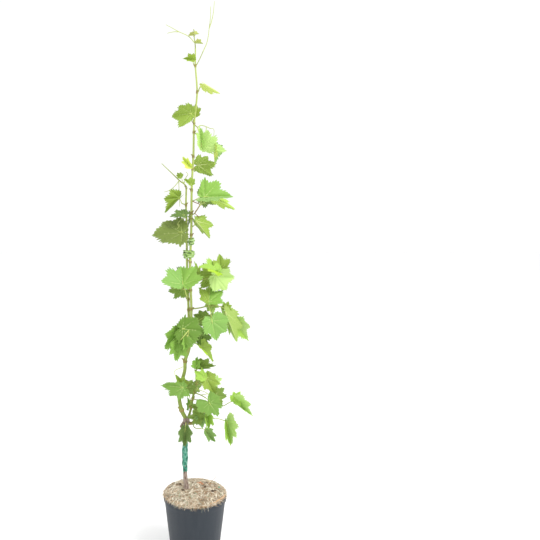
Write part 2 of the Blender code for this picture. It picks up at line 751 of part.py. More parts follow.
def make_limbs(home, spare):
    """Trunk, canes, shoots, wax and ties; gives back slightly fattened copies to cut with."""
    paths = {
        "trunk": smooth_path(TRUNK, 2),
        "main_cane": smooth_path(MAIN_CANE, 2),
        "second_cane": smooth_path(SECOND_CANE, 2),
        "right_shoot": smooth_path(RIGHT_SHOOT, 2),
        "low_spur": smooth_path(LOW_SPUR, 2),
    }
    parts = new_collection("trunk_parts", hidden=True)
    trunk = tube("trunk", paths["trunk"], home, 2)
    tube("stub", smooth_path(STUB, 2), parts, 2)
    bpy.ops.mesh.primitive_ico_sphere_add(subdivisions=2, radius=HEAD[3] * MM)
    knot = bpy.context.active_object
    for old in list(knot.users_collection):
        old.objects.unlink(knot)
    parts.objects.link(knot)
    knot.location = (HEAD[0] * MM, HEAD[1] * MM, (HEAD[2] + RIM_HEIGHT) * MM)
    bpy.context.view_layer.update()
    boolean(trunk, "UNION", collection=parts)
    trunk = baked(trunk)
    for obj in list(parts.objects):
        bpy.data.objects.remove(obj, do_unlink=True)
    fat_head = bpy.data.meshes.new("fat_head")
    work = bmesh.new()
    bmesh.ops.create_icosphere(work, subdivisions=2, radius=(HEAD[3] + GAP + 0.1) * MM)
    place = (HEAD[0] * MM, HEAD[1] * MM, (HEAD[2] + RIM_HEIGHT) * MM)
    bmesh.ops.translate(work, verts=work.verts, vec=place)
    work.to_mesh(fat_head)
    work.free()
    fat = {name: tube("fat_" + name, rows, spare, 2, GAP + 0.15) for name, rows in paths.items()}
    fat["head"] = link_mesh("fat_head", fat_head, spare)
    fat["stub"] = tube("fat_stub", smooth_path(STUB, 2), spare, 2, GAP + 0.1)
    finish(trunk, "trunk", "bark", 60)
    parents = {
        "main_cane": ("trunk", "head", "stub"),
        "second_cane": ("main_cane",),
        "right_shoot": ("trunk", "head", "main_cane"),
        "low_spur": ("trunk", "head", "right_shoot"),
    }
    for name, above in parents.items():
        limb = tube(name, paths[name], home, 2 if name == "main_cane" else 1)
        for parent in above:
            boolean(limb, "DIFFERENCE", other=fat[parent])
        limb = baked(limb)
        largest_piece(limb)
        finish(limb, name, "cane_bark", 60)
    rows = paths["trunk"]
    low, high = WAX_HEIGHTS
    wax_rows = [row for row in rows if low <= row[2] <= high]
    first = [np.interp(low, rows[:, 2], rows[:, k]) for k in range(4)]
    last = [np.interp(high, rows[:, 2], rows[:, k]) for k in range(4)]
    wax = tube("graft_wax", [first, *wax_rows, last], home, 2, WAX_THICKNESS + GAP)
    for parent in ("trunk", "head", "stub", "low_spur", "right_shoot"):
        boolean(wax, "DIFFERENCE", other=fat[parent])
    wax = baked(wax)
    largest_piece(wax)
    finish(wax, "graft_wax", "wax", 60)
    tie = ring("tie_ribbon", TIE_CENTRE, TIE_HALF_WIDTHS, TIE_HEIGHT, TIE_THICKNESS, home)
    for parent in ("main_cane", "second_cane"):
        boolean(tie, "DIFFERENCE", other=fat[parent])
    finish(baked(tie), "tie_ribbon", "ribbon", 35)
    sizes = (BAND_RADIUS, BAND_RADIUS)
    band = ring("tie_band", BAND_CENTRE, sizes, BAND_HEIGHT, BAND_THICKNESS, home)
    boolean(band, "DIFFERENCE", other=fat["main_cane"])
    finish(baked(band), "tie_band", "ribbon", 35)
    return fat


def make_mass(name, home, spare, fat_trees):
    """One mass: stem, stalks, leaves and tendrils joined into one solid, clear of every limb."""
    stem, leaves, tendrils = MASSES[name]
    parts = new_collection("parts_of_" + name, hidden=True)
    body = tube(name, smooth_path(stem, 1), home, 0)
    for k, row in enumerate(leaves):
        blade = leaf(f"leaf_{k}", row, parts)
        if any(tree_of(blade).overlap(tree) for tree in fat_trees):
            bpy.data.objects.remove(blade, do_unlink=True)
            continue
        start = np.array(stem[row[0]][:3], float)
        tube(f"stalk_{k}", stalk_path(start, row), parts, 0)
    for k, line in enumerate(tendrils):
        count = len(line) - 1
        rows = [(*point, 0.95 - 0.25 * j / count) for j, point in enumerate(line)]
        tube(f"tendril_{k}", rows, parts, 0)
    if len(parts.objects):
        boolean(body, "UNION", collection=parts)
        body = baked(body)
    for obj in list(parts.objects):
        bpy.data.objects.remove(obj, do_unlink=True)
    boolean(body, "DIFFERENCE", collection=spare)
    body = baked(body)
    largest_piece(body)
    return finish(body, name, "leaf", 30)


def main():
    clear_scene()
    home = new_collection("potted_grapevine")
    spare = new_collection("cutters", hidden=True)
    make_pot(home)
    make_soil(home)
    fat = make_limbs(home, spare)
    for cutter in fat.values():
        cutter.hide_render = True
        cutter.display_type = "WIRE"
    fat_trees = [tree_of(cutter) for cutter in fat.values()]
    for name in MASSES:
        make_mass(name, home, spare, fat_trees)


main()
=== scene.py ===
"""Looks of a young grafted grapevine in a round pot: bark, wax, ties, stalks, tendrils and leaves.

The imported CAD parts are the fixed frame, and every piece here rides on their one body. The
tables are millimetres, as in the part's source: right, back and up, where heights are measured
from the rim plane of the pot. The front of the plant looks along -Y.
"""

import math
from collections import namedtuple

import bpy
import numpy as np
from bpy.props import FloatProperty, FloatVectorProperty, IntProperty, PointerProperty
from bpy.types import Operator, Panel, PropertyGroup
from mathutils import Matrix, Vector


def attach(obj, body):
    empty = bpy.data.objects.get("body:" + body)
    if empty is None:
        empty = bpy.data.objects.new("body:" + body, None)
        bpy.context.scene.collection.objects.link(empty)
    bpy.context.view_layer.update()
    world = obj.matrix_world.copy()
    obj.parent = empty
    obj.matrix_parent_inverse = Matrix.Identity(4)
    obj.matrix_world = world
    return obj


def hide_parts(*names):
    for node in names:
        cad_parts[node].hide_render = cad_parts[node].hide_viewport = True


bl_info = {
    "name": "Potted Grapevine",
    "version": (1, 0, 0),
    "blender": (4, 5, 0),
    "location": "3D View > Sidebar > Grapevine",
    "description": "Builds a young grafted grapevine in its pot, piece by piece",
    "category": "Add Mesh",
}

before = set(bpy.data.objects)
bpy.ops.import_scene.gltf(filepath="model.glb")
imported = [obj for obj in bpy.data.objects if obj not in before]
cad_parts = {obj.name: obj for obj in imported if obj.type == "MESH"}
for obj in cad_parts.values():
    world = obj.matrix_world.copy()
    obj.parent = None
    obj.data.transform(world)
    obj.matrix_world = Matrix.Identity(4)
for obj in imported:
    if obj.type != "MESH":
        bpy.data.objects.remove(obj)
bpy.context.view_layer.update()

MM = 0.001
FULL_TURN = 2 * math.pi
BODY = "root"
SEED = 7

# Pot and soil, as heights above the pot's underside.
RIM_HEIGHT = 165.0
RIM_RADIUS = 80.0
NECK_RADIUS = 77.4
FOOT_RADIUS = 60.0
WALL = 1.8
LIP_HEIGHT = 13.0
SOIL_PROFILE = ((0, 11.0), (46, 11.0), (62, 8.2), (73, 4.2), (79.3, 1.6))

# Limbs: (right, back, up, radius).
TRUNK = (
    (-22, 4, 5.0, 9.5),
    (-22, 4, 11.5, 8.2),
    (-22, 4, 13.5, 7.4),
    (-22, 4.3, 17.5, 6.6),
    (-24, 7, 32, 5.6),
    (-25.5, 11, 62, 5.2),
    (-25.5, 14, 100, 5.0),
    (-24, 15, 150, 5.2),
    (-22.5, 15, 176, 6.2),
    (-22, 15, 183, 8.0),
    (-22, 15, 189, 8.6),
    (-22, 15, 194, 7.2),
    (-22, 15, 196.5, 4.6),
)
STUB = (
    (-22, 14, 187, 4.6),
    (-26, 13, 186, 3.9),
    (-32, 8, 181, 3.3),
    (-37, 5, 173, 2.8),
)
MAIN_CANE = (
    (-22, 15, 187, 5.4),
    (-23, 15, 192, 5.3),
    (-28, 13, 202, 5.1),
    (-34, 11, 217, 5.0),
    (-40, 10, 250, 4.8),
    (-34, 9, 287, 4.6),
    (-26, 8, 320, 4.5),
    (-24, 8, 348, 4.3),
    (-13, 3, 387, 3.5),
    (-9, 0, 476, 3.2),
    (-12, -2, 560, 3.1),
    (-11, -2, 614, 3.0),
    (-9, -2, 672, 2.8),
    (-8, 0, 774, 2.6),
    (-4, 0, 850, 2.5),
    (-2, 0, 925, 2.3),
    (5, 0, 995, 2.1),
    (1, 0, 1060, 1.8),
    (1, 0, 1098, 1.6),
)
SECOND_CANE = (
    (-25, 8, 342, 3.6),
    (-25, 8, 346, 3.6),
    (-22, 11, 362, 3.4),
    (-15, 13, 392, 3.2),
    (-16, 14, 475, 3.0),
    (-19, 12, 560, 2.8),
    (-20, 8, 614, 2.7),
    (-20, 10, 672, 2.5),
    (-22, 8, 735, 2.2),
    (-21, 8, 775, 2.0),
)
RIGHT_SHOOT = (
    (-21, 15, 186, 3.8),
    (-19, 15, 190, 3.6),
    (-14, 15, 205, 3.3),
    (-10, 15, 222, 3.0),
    (-4, 13, 255, 2.8),
    (3, 12, 283, 2.6),
    (3, 10, 318, 2.2),
)
LOW_SPUR = (
    (-21, 14, 180, 3.2),
    (-17, 13, 181, 3.0),
    (-9, 10, 182, 2.7),
    (0, 6, 190, 2.3),
    (8, 4, 203, 1.9),
)

# Heights of the nodes, where a cane swells and carries a bud.
MAIN_NODES = (217, 284, 344, 404, 440, 478, 525, 545, 595, 660, 700, 714, 768, 818, 848, 905, 926, 998, 1058)
SECOND_NODES = (362, 398, 430, 474, 500, 520, 654, 733, 775)
SHOOT_NODES = (222, 246, 262, 286, 318)
SPUR_NODES = (183, 203)

# Ribbon that ties the two canes, and the looser band above it.
TIE_CENTRE = (-15, 3.5, 614)
TIE_HALF_WIDTHS = (12.6, 11.6)
BAND_CENTRE = (-9, -2, 645)
BAND_RADIUS = 6.4
WAX_HEIGHTS = (50, 174)
WAX_THICKNESS = 2.2

# Leaf margin about the stalk's end: degrees from the tip and share of the length, at the
# points of the lobes and the bottoms of the bays between them.
LOBES = (
    (0, 0.95),
    (23, 0.64),
    (43, 0.85),
    (64, 0.57),
    (86, 0.69),
    (110, 0.47),
    (140, 0.41),
    (166, 0.20),
    (180, 0.04),
)
LOBE_ANGLES = (43, 86, 138)
BAYS = (23, 64, 110)
FOLD_ROUNDING = 0.03
MAIN_VEINS = (0, 43, 86, 138)
SIDE_VEIN_STEP = 0.14
# Teeth round a blade and rings across it, by the length that the leaf has to pass.
BLADE_DETAIL = ((40, 37, 9), (24, 27, 8), (0, 17, 6))
# Share of the teeth that stand out of the rest, and by how much.
BOLD_TEETH = 0.3
BOLD_TOOTH = 0.75
# Lengths at which veins reach their full width, and from which a leaf shows side veins.
FULL_GROWN = 55
SIDE_VEINS_FROM = 24
STALK_RADIUS = 1.0

Leaf = namedtuple(
    "Leaf",
    "joint right back up length facing rise clock left_fold right_fold droop tones form",
    defaults=((),),
)

# Masses: the stem (right, back, up, radius); the leaves, in the order of Leaf; the tendrils
# (right, back, up). A leaf's joint is the number of the stem point that it grows from, and its
# seat lies right, back and up. It faces so many degrees to the right of the front, and rises so
# many upwards; clock is the angle of its tip. Tones are one, or one for each half. A leaf with
# its own form has the growth of its lobes, first, side and base on the left, then on the right,
# and may have the fullness of its bays and the growth of its tip.
MASSES = {
    "leaves_tip": (
        ((1, 0, 1098.3, 1.4), (0, 0, 1110, 1.2), (-2, 0, 1124, 1.1), (-3, 0, 1142, 0.9)),
        (
            (2, -6, -1, 1128, 12, -20, 30, 280, 40, 40, 10, "tip"),
            (2, 1, -1, 1130, 12, 20, 40, 65, 45, 45, 10, "tip"),
            (1, 5, -4, 1109, 15, 0, 20, 91, 30, 78, 10, "tip"),
        ),
        (
            ((0, 0, 1110), (-15, -2, 1125), (-37, -3, 1135), (-52, -3, 1143), (-68, -3, 1151)),
            ((-37, -3, 1135), (-50, -3, 1135), (-65, -2, 1132)),
        ),
    ),
    "leaf_top_left": (
        ((-0.5, -1, 1056, 1.2), (-4, -1, 1064, 1.1)),
        (
            (1, -3, -8, 1070, 26, 0, 10, 281, 56, 60, 15, "olive", (1, 1, 0.6, 1, 1, 0.6)),
        ),
        (),
    ),
    "tendril_top_right": (
        ((1, 0, 1056, 1.2), (10, -1, 1072, 1.0), (19, -2, 1091, 1.0)),
        (),
        (
            ((19, -2, 1091), (27, -3, 1108), (31, -3, 1125), (33, -3, 1142), (36, -2, 1168), (36, -2, 1192)),
            ((33, -3, 1142), (39, -4, 1160), (43, -4, 1180), (45, -4, 1203)),
        ),
    ),
    "leaf_top_right": (
        ((6, -1, 996, 1.2), (12, -5, 1010, 1.1)),
        (
            (1, 24, -8, 1014, 40, 180, 0, 239, 70, 80, 10, "chartreuse"),
        ),
        (),
    ),
    "leaf_upper_left": (
        ((-3, -1, 926, 1.2), (-5, -8, 934, 1.1)),
        (
            (1, -9, -14, 947, 48, -5, 0, 265, 5, 40, 10, "fresh", (1.0, 0.45, 0.35, 0.85, 0.8, 0.6, 1.1)),
        ),
        (),
    ),
    "leaf_upper_back": (
        ((-1, 1, 932, 1.2), (0, 8, 941, 1.1)),
        (
            (1, 0, 24, 948, 28, 0, 0, 6, 30, 40, 10, "olive", (1, 1, 0.6, 1, 0.7, 0.5)),
        ),
        (),
    ),
    "leaves_upper_right": (
        ((-1, -1, 922, 1.2), (6, -4, 916, 1.2), (12, -10, 902, 1.1)),
        (
            (2, 20, -22, 871, 56, 5, 10, 100, 22, -50, 10, "pale", (0.75, 1.0, 0.4, 0.45, 0.4, 0.4)),
            (2, 43, -5, 870, 40, 40, 5, 168, 35, 72, 10, "bluish/chartreuse", (0.85, 0.8, 0.7, 1, 1, 0.8)),
            (1, 15, -28, 870, 47, 12, 5, 358, 60, 66, 8, "pale", (1, 0.8, 0.6, 1, 0.8, 0.6)),
        ),
        (
            ((6, -4, 916), (14, -3, 921), (27, -3, 918), (36, -3, 914), (45, -3, 911), (44, -3, 888)),
            ((27, -3, 918), (26, -3, 908), (21, -3, 894)),
        ),
    ),
    "leaf_upper_right_back": (
        ((-1, 1, 905, 1.2), (8, 13, 897, 1.1)),
        (
            (1, 29, 24, 880, 25, 175, 10, 249, 15, 15, 15, "deep"),
        ),
        (),
    ),
    "leaf_node_right": (
        ((-4, 1, 842, 1.2), (1, 11, 836, 1.1)),
        (
            (1, 8, 19, 829, 44, 178, 0, 275, 5, 32, 10, "moss", (1.1, 0.62, 0.8, 0.9, 0.95, 0.8)),
        ),
        (),
    ),
    "leaf_node_left": (
        ((-5, -1, 818, 1.1), (-9, -5, 820, 1.0)),
        (
            (1, -11, -8, 824, 32, 0, 10, 323, 55, 75, 10, "chartreuse", (1.05, 0.95, 0.4, 1, 0.6, 0.3)),
        ),
        (),
    ),
    "leaf_node_small": (
        ((-8, -1, 768, 1.1), (-8, -7, 773, 1.0)),
        (
            (1, -9, -12, 782, 22, 0, 10, 308, 68, 12, 10, "fresh", (1, 1, 0.6, 0.9, 1, 0.8)),
        ),
        (),
    ),
    "leaves_second_tip": (
        (
            (-21, 8, 775.4, 1.7),
            (-21.5, 8, 778, 1.6),
            (-27, 7, 784, 1.5),
            (-38, 6, 792, 1.4),
            (-60, 2, 813, 1.1),
            (-80, 0, 832, 0.8),
        ),
        (
            (2, -35, 0, 800, 14, 0, 20, 325, 35, 35, 10, "fresh"),
        ),
        (
            ((-38, 6, 792), (-49, 3, 778), (-62, 1, 768), (-74, 0, 764)),
            ((-38, 6, 792), (-39, 4, 784), (-38, 3, 761), (-37, 4, 729)),
            ((-27, 7, 784), (-22, 2, 798), (-17, -2, 806), (-22, -3, 812)),
        ),
    ),
    "leaves_right_top": (
        ((-6, -2, 710, 1.4), (0, -5, 714, 1.3), (11, -8, 731, 1.3)),
        (
            (2, 22, -20, 752, 72, 5, 25, 85, 22, 48, 15, "green/bluish", (0.88, 0.85, 0.5, 0.62, 0.6, 0.85)),
            (2, 47, 2, 749, 56, 180, 0, 242, 70, 72, 10, "lemon", (1, 0.8, 0.6, 1, 0.8, 0.6)),
        ),
        (),
    ),
    "leaf_right_top_back": (
        ((-7, 1, 742, 1.3), (3, 22, 746, 1.2)),
        (
            (1, 20, 46, 754, 42, 180, 5, 278, 15, 15, 15, "deep"),
        ),
        (),
    ),
    "leaf_left_top": (
        ((-22, 7, 733, 1.3), (-32, 1, 737, 1.2)),
        (
            (1, -38, -5, 750, 50, -5, 10, 224, 78, 40, 10, "fresh", (1, 1, 0.8, 0.9, 0.9, 0.85)),
        ),
        (),
    ),
    "leaf_left_small": (
        ((-10, -2, 703, 1.3), (-16, -8, 705, 1.2)),
        (
            (1, -26, -17, 709, 34, 0, 65, 272, 15, 15, 10, "shade"),
        ),
        (),
    ),
    "leaves_left_back": (
        ((-9, 0, 700, 1.3), (-11, 14, 704, 1.2)),
        (
            (1, -14, 25, 708, 33, 85, 0, 180, 10, 10, 10, "deep"),
            (1, -34, 36, 662, 42, 180, 10, 90, 15, 15, 15, "mid"),
        ),
        (),
    ),
    "leaf_right_small": (
        ((-8, -3, 680, 1.3), (-2, -11, 684, 1.2)),
        (
            (1, 3, -18, 695, 54, 170, 0, 220, 70, 46, 10, "moss", (1, 1, 0.5, 1.0, 0.75, 0.5)),
        ),
        (),
    ),
    "leaf_left_large": (
        ((-20, 9, 654, 1.5), (-25, -13, 657, 1.4)),
        (
            (1, -31, -28, 669, 72, 0, 55, 269, 5, 5, 10, "dull", (1, 1, 0.55, 1, 1, 0.6, 1.17)),
        ),
        (),
    ),
    "leaves_right_high": (
        ((-12, -1, 545, 1.5), (15, 0, 550, 1.4), (42, -2, 558, 1.4)),
        (
            (1, 5, 15, 558, 34, 75, 0, 0, 20, 20, 10, "fresh"),
            (2, 61, 0, 573, 42, 5, 5, 359, 45, 15, 10, "fresh", (1, 0.8, 0.5, 1.05, 0.65, 0.5)),
            (2, 56, -25, 574, 49, 90, 66, 352, -10, 42, 10, "lime/light", (0.9, 0.8, 0.6, 1.05, 0.8, 0.5)),
            (2, 48, -18, 564, 51, 10, 5, 98, 50, 0, 10, "pale", (1, 0.6, 0.5, 1.05, 1.05, 0.7, 1.12)),
            (2, 50, 20, 565, 52, -5, 5, 223, 0, 20, 10, "fresh"),
            (2, 45, 40, 555, 34, 180, 5, 248, 15, 15, 15, "deep"),
        ),
        (),
    ),
    "leaves_left_high": (
        ((-17, 12, 500, 1.5), (-20, 0, 505, 1.4), (-21, -15, 513, 1.4)),
        (
            (
                *(2, -29, -45, 547, 62, 0, 32, 355, 25, 22, 10, "sheen/green"),
                (0.95, 1.25, 0.6, 1, 1.15, 0.7, 1.06, 0.76),
            ),
            (1, -29, -2, 528, 38, 0, 20, 262, 25, 45, 10, "mid"),
        ),
        (),
    ),
    "leaf_left_high_back": (
        ((-17, 14, 520, 1.4), (-20, 24, 532, 1.3)),
        (
            (1, -26, 34, 542, 44, 180, 10, 20, 15, 15, 15, "deep"),
        ),
        (),
    ),
    "leaves_right_mid": (
        (
            (-9, 0, 478, 1.7),
            (12, -6, 482, 1.6),
            (34, -12, 488, 1.5),
            (55, -8, 487, 1.4),
            (72, 0, 480, 1.3),
            (88, 12, 466, 1.2),
        ),
        (
            (2, 33, -22, 501, 51, 0, 35, 9, 8, 5, 10, "fresh/green", (0.9, 0.6, 0.3, 1, 0.95, 0.35)),
            (2, 37, -5, 494, 30, 160, -10, 205, 30, 30, 30, "light"),
            (2, 41, -35, 455, 48, 0, 10, 168, 8, 15, 10, "sheen", (1.05, 1.15, 1.25, 0.8, 0.75, 0.9, 1.12)),
            (4, 75, -5, 470, 76, 160, -15, 209, 64, 69, 10, "light/fresh", (1, 0.9, 0.7, 1, 0.9, 0.7)),
            (4, 77, 15, 477, 19, 0, 0, 20, 15, 15, 10, "fresh"),
            (5, 100, 22, 443, 58, 10, 10, 146, 50, 35, 10, "pale/light", (0.9, 0.7, 0.5, 1, 0.8, 0.7)),
        ),
        (),
    ),
    "leaves_right_mid_back": (
        ((-10, 1, 438, 1.4), (4, 9, 442, 1.3), (20, 22, 446, 1.2)),
        (
            (1, 25, 15, 455, 30, 0, 5, 280, 35, 35, 10, "mid"),
            (2, 34, 38, 450, 40, 180, 5, 170, 15, 15, 15, "deep"),
        ),
        (),
    ),
    "leaves_left_mid": (
        ((-11, -1, 445, 1.6), (-12, -20, 442, 1.5), (-14, -38, 436, 1.4), (-16, -52, 425, 1.3)),
        (
            (2, -30, -45, 438, 54, 5, 15, 97, 15, 8, 10, "rich", (0.95, 0.75, 0.7, 1, 1, 0.9, 1.15)),
            (2, -35, -23, 428, 59, -10, 25, 220, 21, 66, 10, "green", (1, 1, 0.8, 0.9, 0.72, 0.5, 1.1)),
            (3, -39, -38, 402, 46, 0, 5, 190, 30, 52, 10, "green", (1, 0.9, 0.7, 1, 0.9, 0.7)),
            (3, -23, -50, 410, 28, 30, 0, 172, 40, 40, 10, "green"),
        ),
        (),
    ),
    "leaf_left_mid_back": (
        ((-15, 13, 430, 1.4), (-20, 24, 430, 1.3)),
        (
            (1, -19, 36, 414, 35, 180, 10, 122, 15, 15, 15, "deep"),
        ),
        (),
    ),
    "leaves_centre": (
        ((-12, 2, 404, 1.4), (0, 2, 408, 1.3)),
        (
            (1, 12, 5, 414, 38, 15, 10, 155, 5, 40, 10, "deep"),
            (1, 11, -10, 389, 55, 90, 48, 183, 55, 5, 10, "fresh/lime", (0.8, 0.65, 0.7, 0.7, 0.7, 0.8)),
        ),
        (),
    ),
    "leaves_right_tip": (
        ((3, 10, 318.3, 1.7), (3, 9, 328, 1.4), (2, 8, 340, 1.1)),
        (
            (1, 4, -10, 336, 24, -10, 5, 2, 48, 48, 10, "green", (1, 1, 0.8, 1, 1, 0.8)),
            (1, 10, 16, 326, 42, 10, 20, 87, 45, 76, 10, "mid", (1, 1, 0.9, 1, 1, 0.9)),
        ),
        (),
    ),
    "leaves_left_low": (
        ((-34, 8, 284, 1.5), (-32, -3, 284, 1.4), (-28, -12, 286, 1.3)),
        (
            (2, -30, -25, 287, 56, -10, 43, 276, 0, 30, 10, "leaf", (0.78, 0.75, 1.1, 0.35, 0.4, 0.5)),
            (1, -23, -10, 282, 28, 0, 10, 87, 5, 5, 10, "mid", (1, 1, 0.8, 1, 1, 0.9)),
            (1, -32, -5, 284, 32, 0, 0, 329, 66, 25, 10, "fresh", (1, 0.9, 0.6, 1, 1.1, 0.6)),
        ),
        (),
    ),
    "leaves_low_back": (
        ((-6, 14, 240, 1.4), (-11, 23, 238, 1.3)),
        (
            (1, -15, 26, 219, 24, 50, 0, 355, 20, 20, 10, "green"),
            (1, -24, 32, 265, 24, 180, 5, 88, 15, 15, 15, "deep"),
        ),
        (),
    ),
    "leaves_low_right_back": (
        ((0, 12, 268, 1.4), (8, 20, 267, 1.3)),
        (
            (1, 0, 29, 274, 29, 45, 0, 99, 10, 10, 10, "mid"),
            (1, 45, 30, 243, 26, 180, 5, 240, 15, 15, 15, "deep"),
        ),
        (),
    ),
    "leaves_low_front": (
        ((3, 10, 286, 1.4), (12, 0, 286, 1.3), (24, -11, 288, 1.3)),
        (
            (2, 27, -24, 309, 46, 0, 5, 151, 10, 35, 10, "fresh", (0.85, 0.8, 1.0, 0.7, 0.55, 0.9)),
            (2, 24, -30, 314, 30, 0, 20, 300, 30, 25, 10, "light", (1, 0.7, 0.5, 0.9, 0.5, 0.5)),
            (2, 49, -2, 295, 20, 0, 15, 70, 15, 15, 10, "pale"),
        ),
        (),
    ),
    "leaves_low_mid": (
        ((-2, 12, 262, 1.5), (14, -8, 262, 1.4), (27, -28, 261, 1.3)),
        (
            (2, 35, -45, 254, 38, 0, 12, 143, 5, 5, 10, "leaf", (1, 1.05, 1.7, 0.9, 1.2, 2.0, 1.05)),
            (1, 49, 5, 257, 32, 5, 10, 98, 5, 5, 10, "mid", (1.1, 1, 0.8, 1.1, 1, 0.8)),
        ),
        (),
    ),
    "leaves_low_far": (
        (
            (-6, 13, 246, 1.4),
            (8, -2, 246, 1.3),
            (40, -10, 238, 1.2),
            (66, -14, 235, 1.1),
            (84, -17, 245, 1.1),
        ),
        (
            (4, 96, -20, 250, 59, 10, 20, 129, 64, 80, 10, "pale", (1, 1, 0.8, 1, 0.8, 0.6)),
            (4, 96, -28, 254, 28, 10, 10, 39, 25, 15, 10, "light", (1, 0.9, 0.6, 1.05, 1, 0.6)),
        ),
        (),
    ),
    "leaves_spur": (
        ((8.2, 3.9, 203.4, 1.6), (12, 2, 208, 1.5), (20, -4, 206, 1.3), (27, -8, 202, 1.2)),
        (
            (1, 23, -3, 214, 42, -10, 10, 298, 60, 12, 10, "mid", (0.85, 0.8, 0.7, 1, 1, 0.9)),
            (1, 16, -5, 205, 29, 0, 20, 175, 32, 32, 10, "bluish", (1, 1, 0.8, 1, 1, 0.8)),
            (3, 29, -26, 220, 43, 20, 0, 171, 76, 62, 10, "light", (1, 0.9, 0.7, 1, 0.9, 0.7)),
            (3, 80, -10, 194, 66, -10, 0, 172, 48, 86, 10, "pale/light", (0.82, 0.95, 1.3, 1, 0.6, 0.4)),
            (1, 13, -9, 207, 30, 0, 15, 267, 20, 20, 10, "mid", (1, 1, 0.8, 1, 1, 0.8)),
        ),
        (),
    ),
    "leaf_spur_low": (
        ((-6, 8, 181, 1.3), (0, 0, 174, 1.2), (14, -2, 173, 1.1)),
        (
            (2, 28, 8, 164, 40, 0, 5, 143, 50, 70, 10, "bluish", (1, 0.95, 0.5, 1, 0.6, 0.3)),
        ),
        (),
    ),
    "leaf_head": (
        ((-22, 9, 186, 1.4), (-23, 1, 185, 1.3)),
        (
            (1, -25, -5, 172, 46, -5, 5, 182, 50, 65, 10, "shade", (1, 1, 0.9, 1, 1, 0.9)),
        ),
        (),
    ),
}

# Tiers of the plant, by the height of a mass's foot; each is one piece of leaves and one of twigs.
TIERS = (("base", 0), ("low", 320), ("middle", 430), ("high", 540), ("upper", 690), ("top", 900))

# Long straws that stand out of the filling: path, radius and slot.
LONG_STRAWS = (
    (((-64, -16, 6), (-52, -10, 26), (-40, -2, 50), (-33, 2, 66)), 0.55, 2),
    (((34, 30, 6), (42, 26, 18), (50, 22, 30), (56, 20, 38)), 0.6, 3),
    (((68, -12, 4), (80, -16, 4), (91, -20, 1)), 0.6, 2),
    (((-8, -14, 11), (0, -22, 13), (8, -31, 11), (13, -38, 10)), 1.1, 5),
    (((-34, -44, 6), (-24, -40, 9), (-14, -42, 8)), 0.9, 5),
    (((-66, 8, 3), (-58, 4, 9), (-44, 6, 10)), 0.8, 5),
    (((52, -52, 5), (64, -40, 6), (72, -26, 5), (76, -10, 3)), 1.5, 6),
    (((30, -66, 4), (44, -60, 5), (56, -50, 5)), 1.2, 6),
)
# Crumbs that catch the eye: place, size and slot.
CHIPS = (
    ((14, 30), 7.5, 8),
    ((19, 25), 5.0, 8),
    ((8, 33), 4.0, 8),
    ((62, 14), 5.0, 7),
    ((45, -14), 7.0, 4),
    ((51, -7), 5.5, 4),
    ((-30, -8), 6.0, 4),
    ((-38, 24), 6.5, 4),
    ((-48, -14), 5.0, 3),
    ((26, 10), 5.0, 4),
    ((4, -20), 4.5, 3),
    ((30, 34), 5.0, 4),
)

# Wraps of the ribbon and of the band: height, distance out, lean, half width and twist.
TIE_WRAPS = (
    (-5.5, -0.6, 1.2, 3.4, 0.5),
    (-1.5, 0.3, -1.6, 3.6, 0.7),
    (2.6, 0.8, 1.8, 3.2, 0.6),
    (6.0, -0.2, -1.0, 3.0, 0.8),
    (0.5, -1.6, 3.2, 4.2, 0.4),
)
BAND_WRAPS = (
    (-4.4, 0.0, 1.6, 3.6, 0.25),
    (0.4, 0.5, -1.4, 3.8, 0.35),
    (4.6, 0.0, 1.2, 3.4, 0.30),
)

# Finer twigs, curls and a dry tip on the limbs and stalks: tier, first and last radius, slot
# and path.
FINE_TWIGS = (
    (
        *("high", 0.9, 0.6, 2),
        ((-20, 6, 704), (-30, 0, 699), (-36, -4, 696), (-41, -8, 689), (-40, -12, 683), (-23, -8, 673)),
    ),
    (
        *("high", 0.7, 0.5, 2),
        ((-36, -4, 696), (-42, -22, 688), (-38, -30, 687), (-39, -30, 681), (-43, -30, 677)),
    ),
    (
        *("upper", 1.1, 0.8, 3),
        ((-6, 1, 742), (3, -2, 738), (11, -8, 734), (6, -10, 724), (0, -12, 714), (10, -14, 704)),
    ),
    (
        *("base", 0.9, 0.6, 1),
        ((-30, 8, 330), (-37, 2, 328), (-47, -6, 326), (-51, -8, 322), (-51, -8, 315), (-47, -8, 313)),
    ),
    ("middle", 1.2, 1.2, 1, ((-15, -56, 437), (-25, -58, 425), (-32, -56, 416), (-39, -45, 404))),
)


# Lumps of the filling: height and size.
LUMPS = ((1.3, 17.0), (0.8, 6.0))

# Camera: place in metres, degrees that it looks down, and how far its frame is shifted.
CAMERA_PLACE = (0, -1.491, 0.915)
CAMERA_DIP = 6.7
CAMERA_SHIFT = 75 / 540
SENSOR_WIDTH = 36
# Lights: size, place and the point that both look at, in metres.
KEY_SIZE = 1.6
KEY_PLACE = (1.9, -1.5, 2.9)
FILL_SIZE = 2.2
FILL_PLACE = (-2.2, -1.4, 1.4)
LIT_POINT = (0.0, 0.0, 0.75)
FLOOR_REACH = 9
FLOOR_TONE = (0.96, 0.96, 0.96)


def srgb(red, green, blue):
    """Linear colour of a 0 to 255 screen colour, by the sRGB curve."""
    share = np.array((red, green, blue)) / 255
    linear = np.where(share <= 0.04045, share / 12.92, ((share + 0.055) / 1.055) ** 2.4)
    return tuple(float(value) for value in linear)


# Slots of the filling and the share that each has of the fine fibres, the wide straws, the
# fibres that hang over the rim, and the crumbs.
FINE_SHARES = ((1, 0.27), (2, 0.24), (3, 0.22), (4, 0.12), (5, 0.07), (6, 0.08))
STRAW_SHARES = ((1, 0.3), (2, 0.4), (3, 0.15), (5, 0.15))
RIM_SHARES = ((1, 0.35), (2, 0.25), (3, 0.2), (6, 0.2))
CRUMB_SHARES = ((1, 0.3), (3, 0.35), (4, 0.28), (5, 0.07))

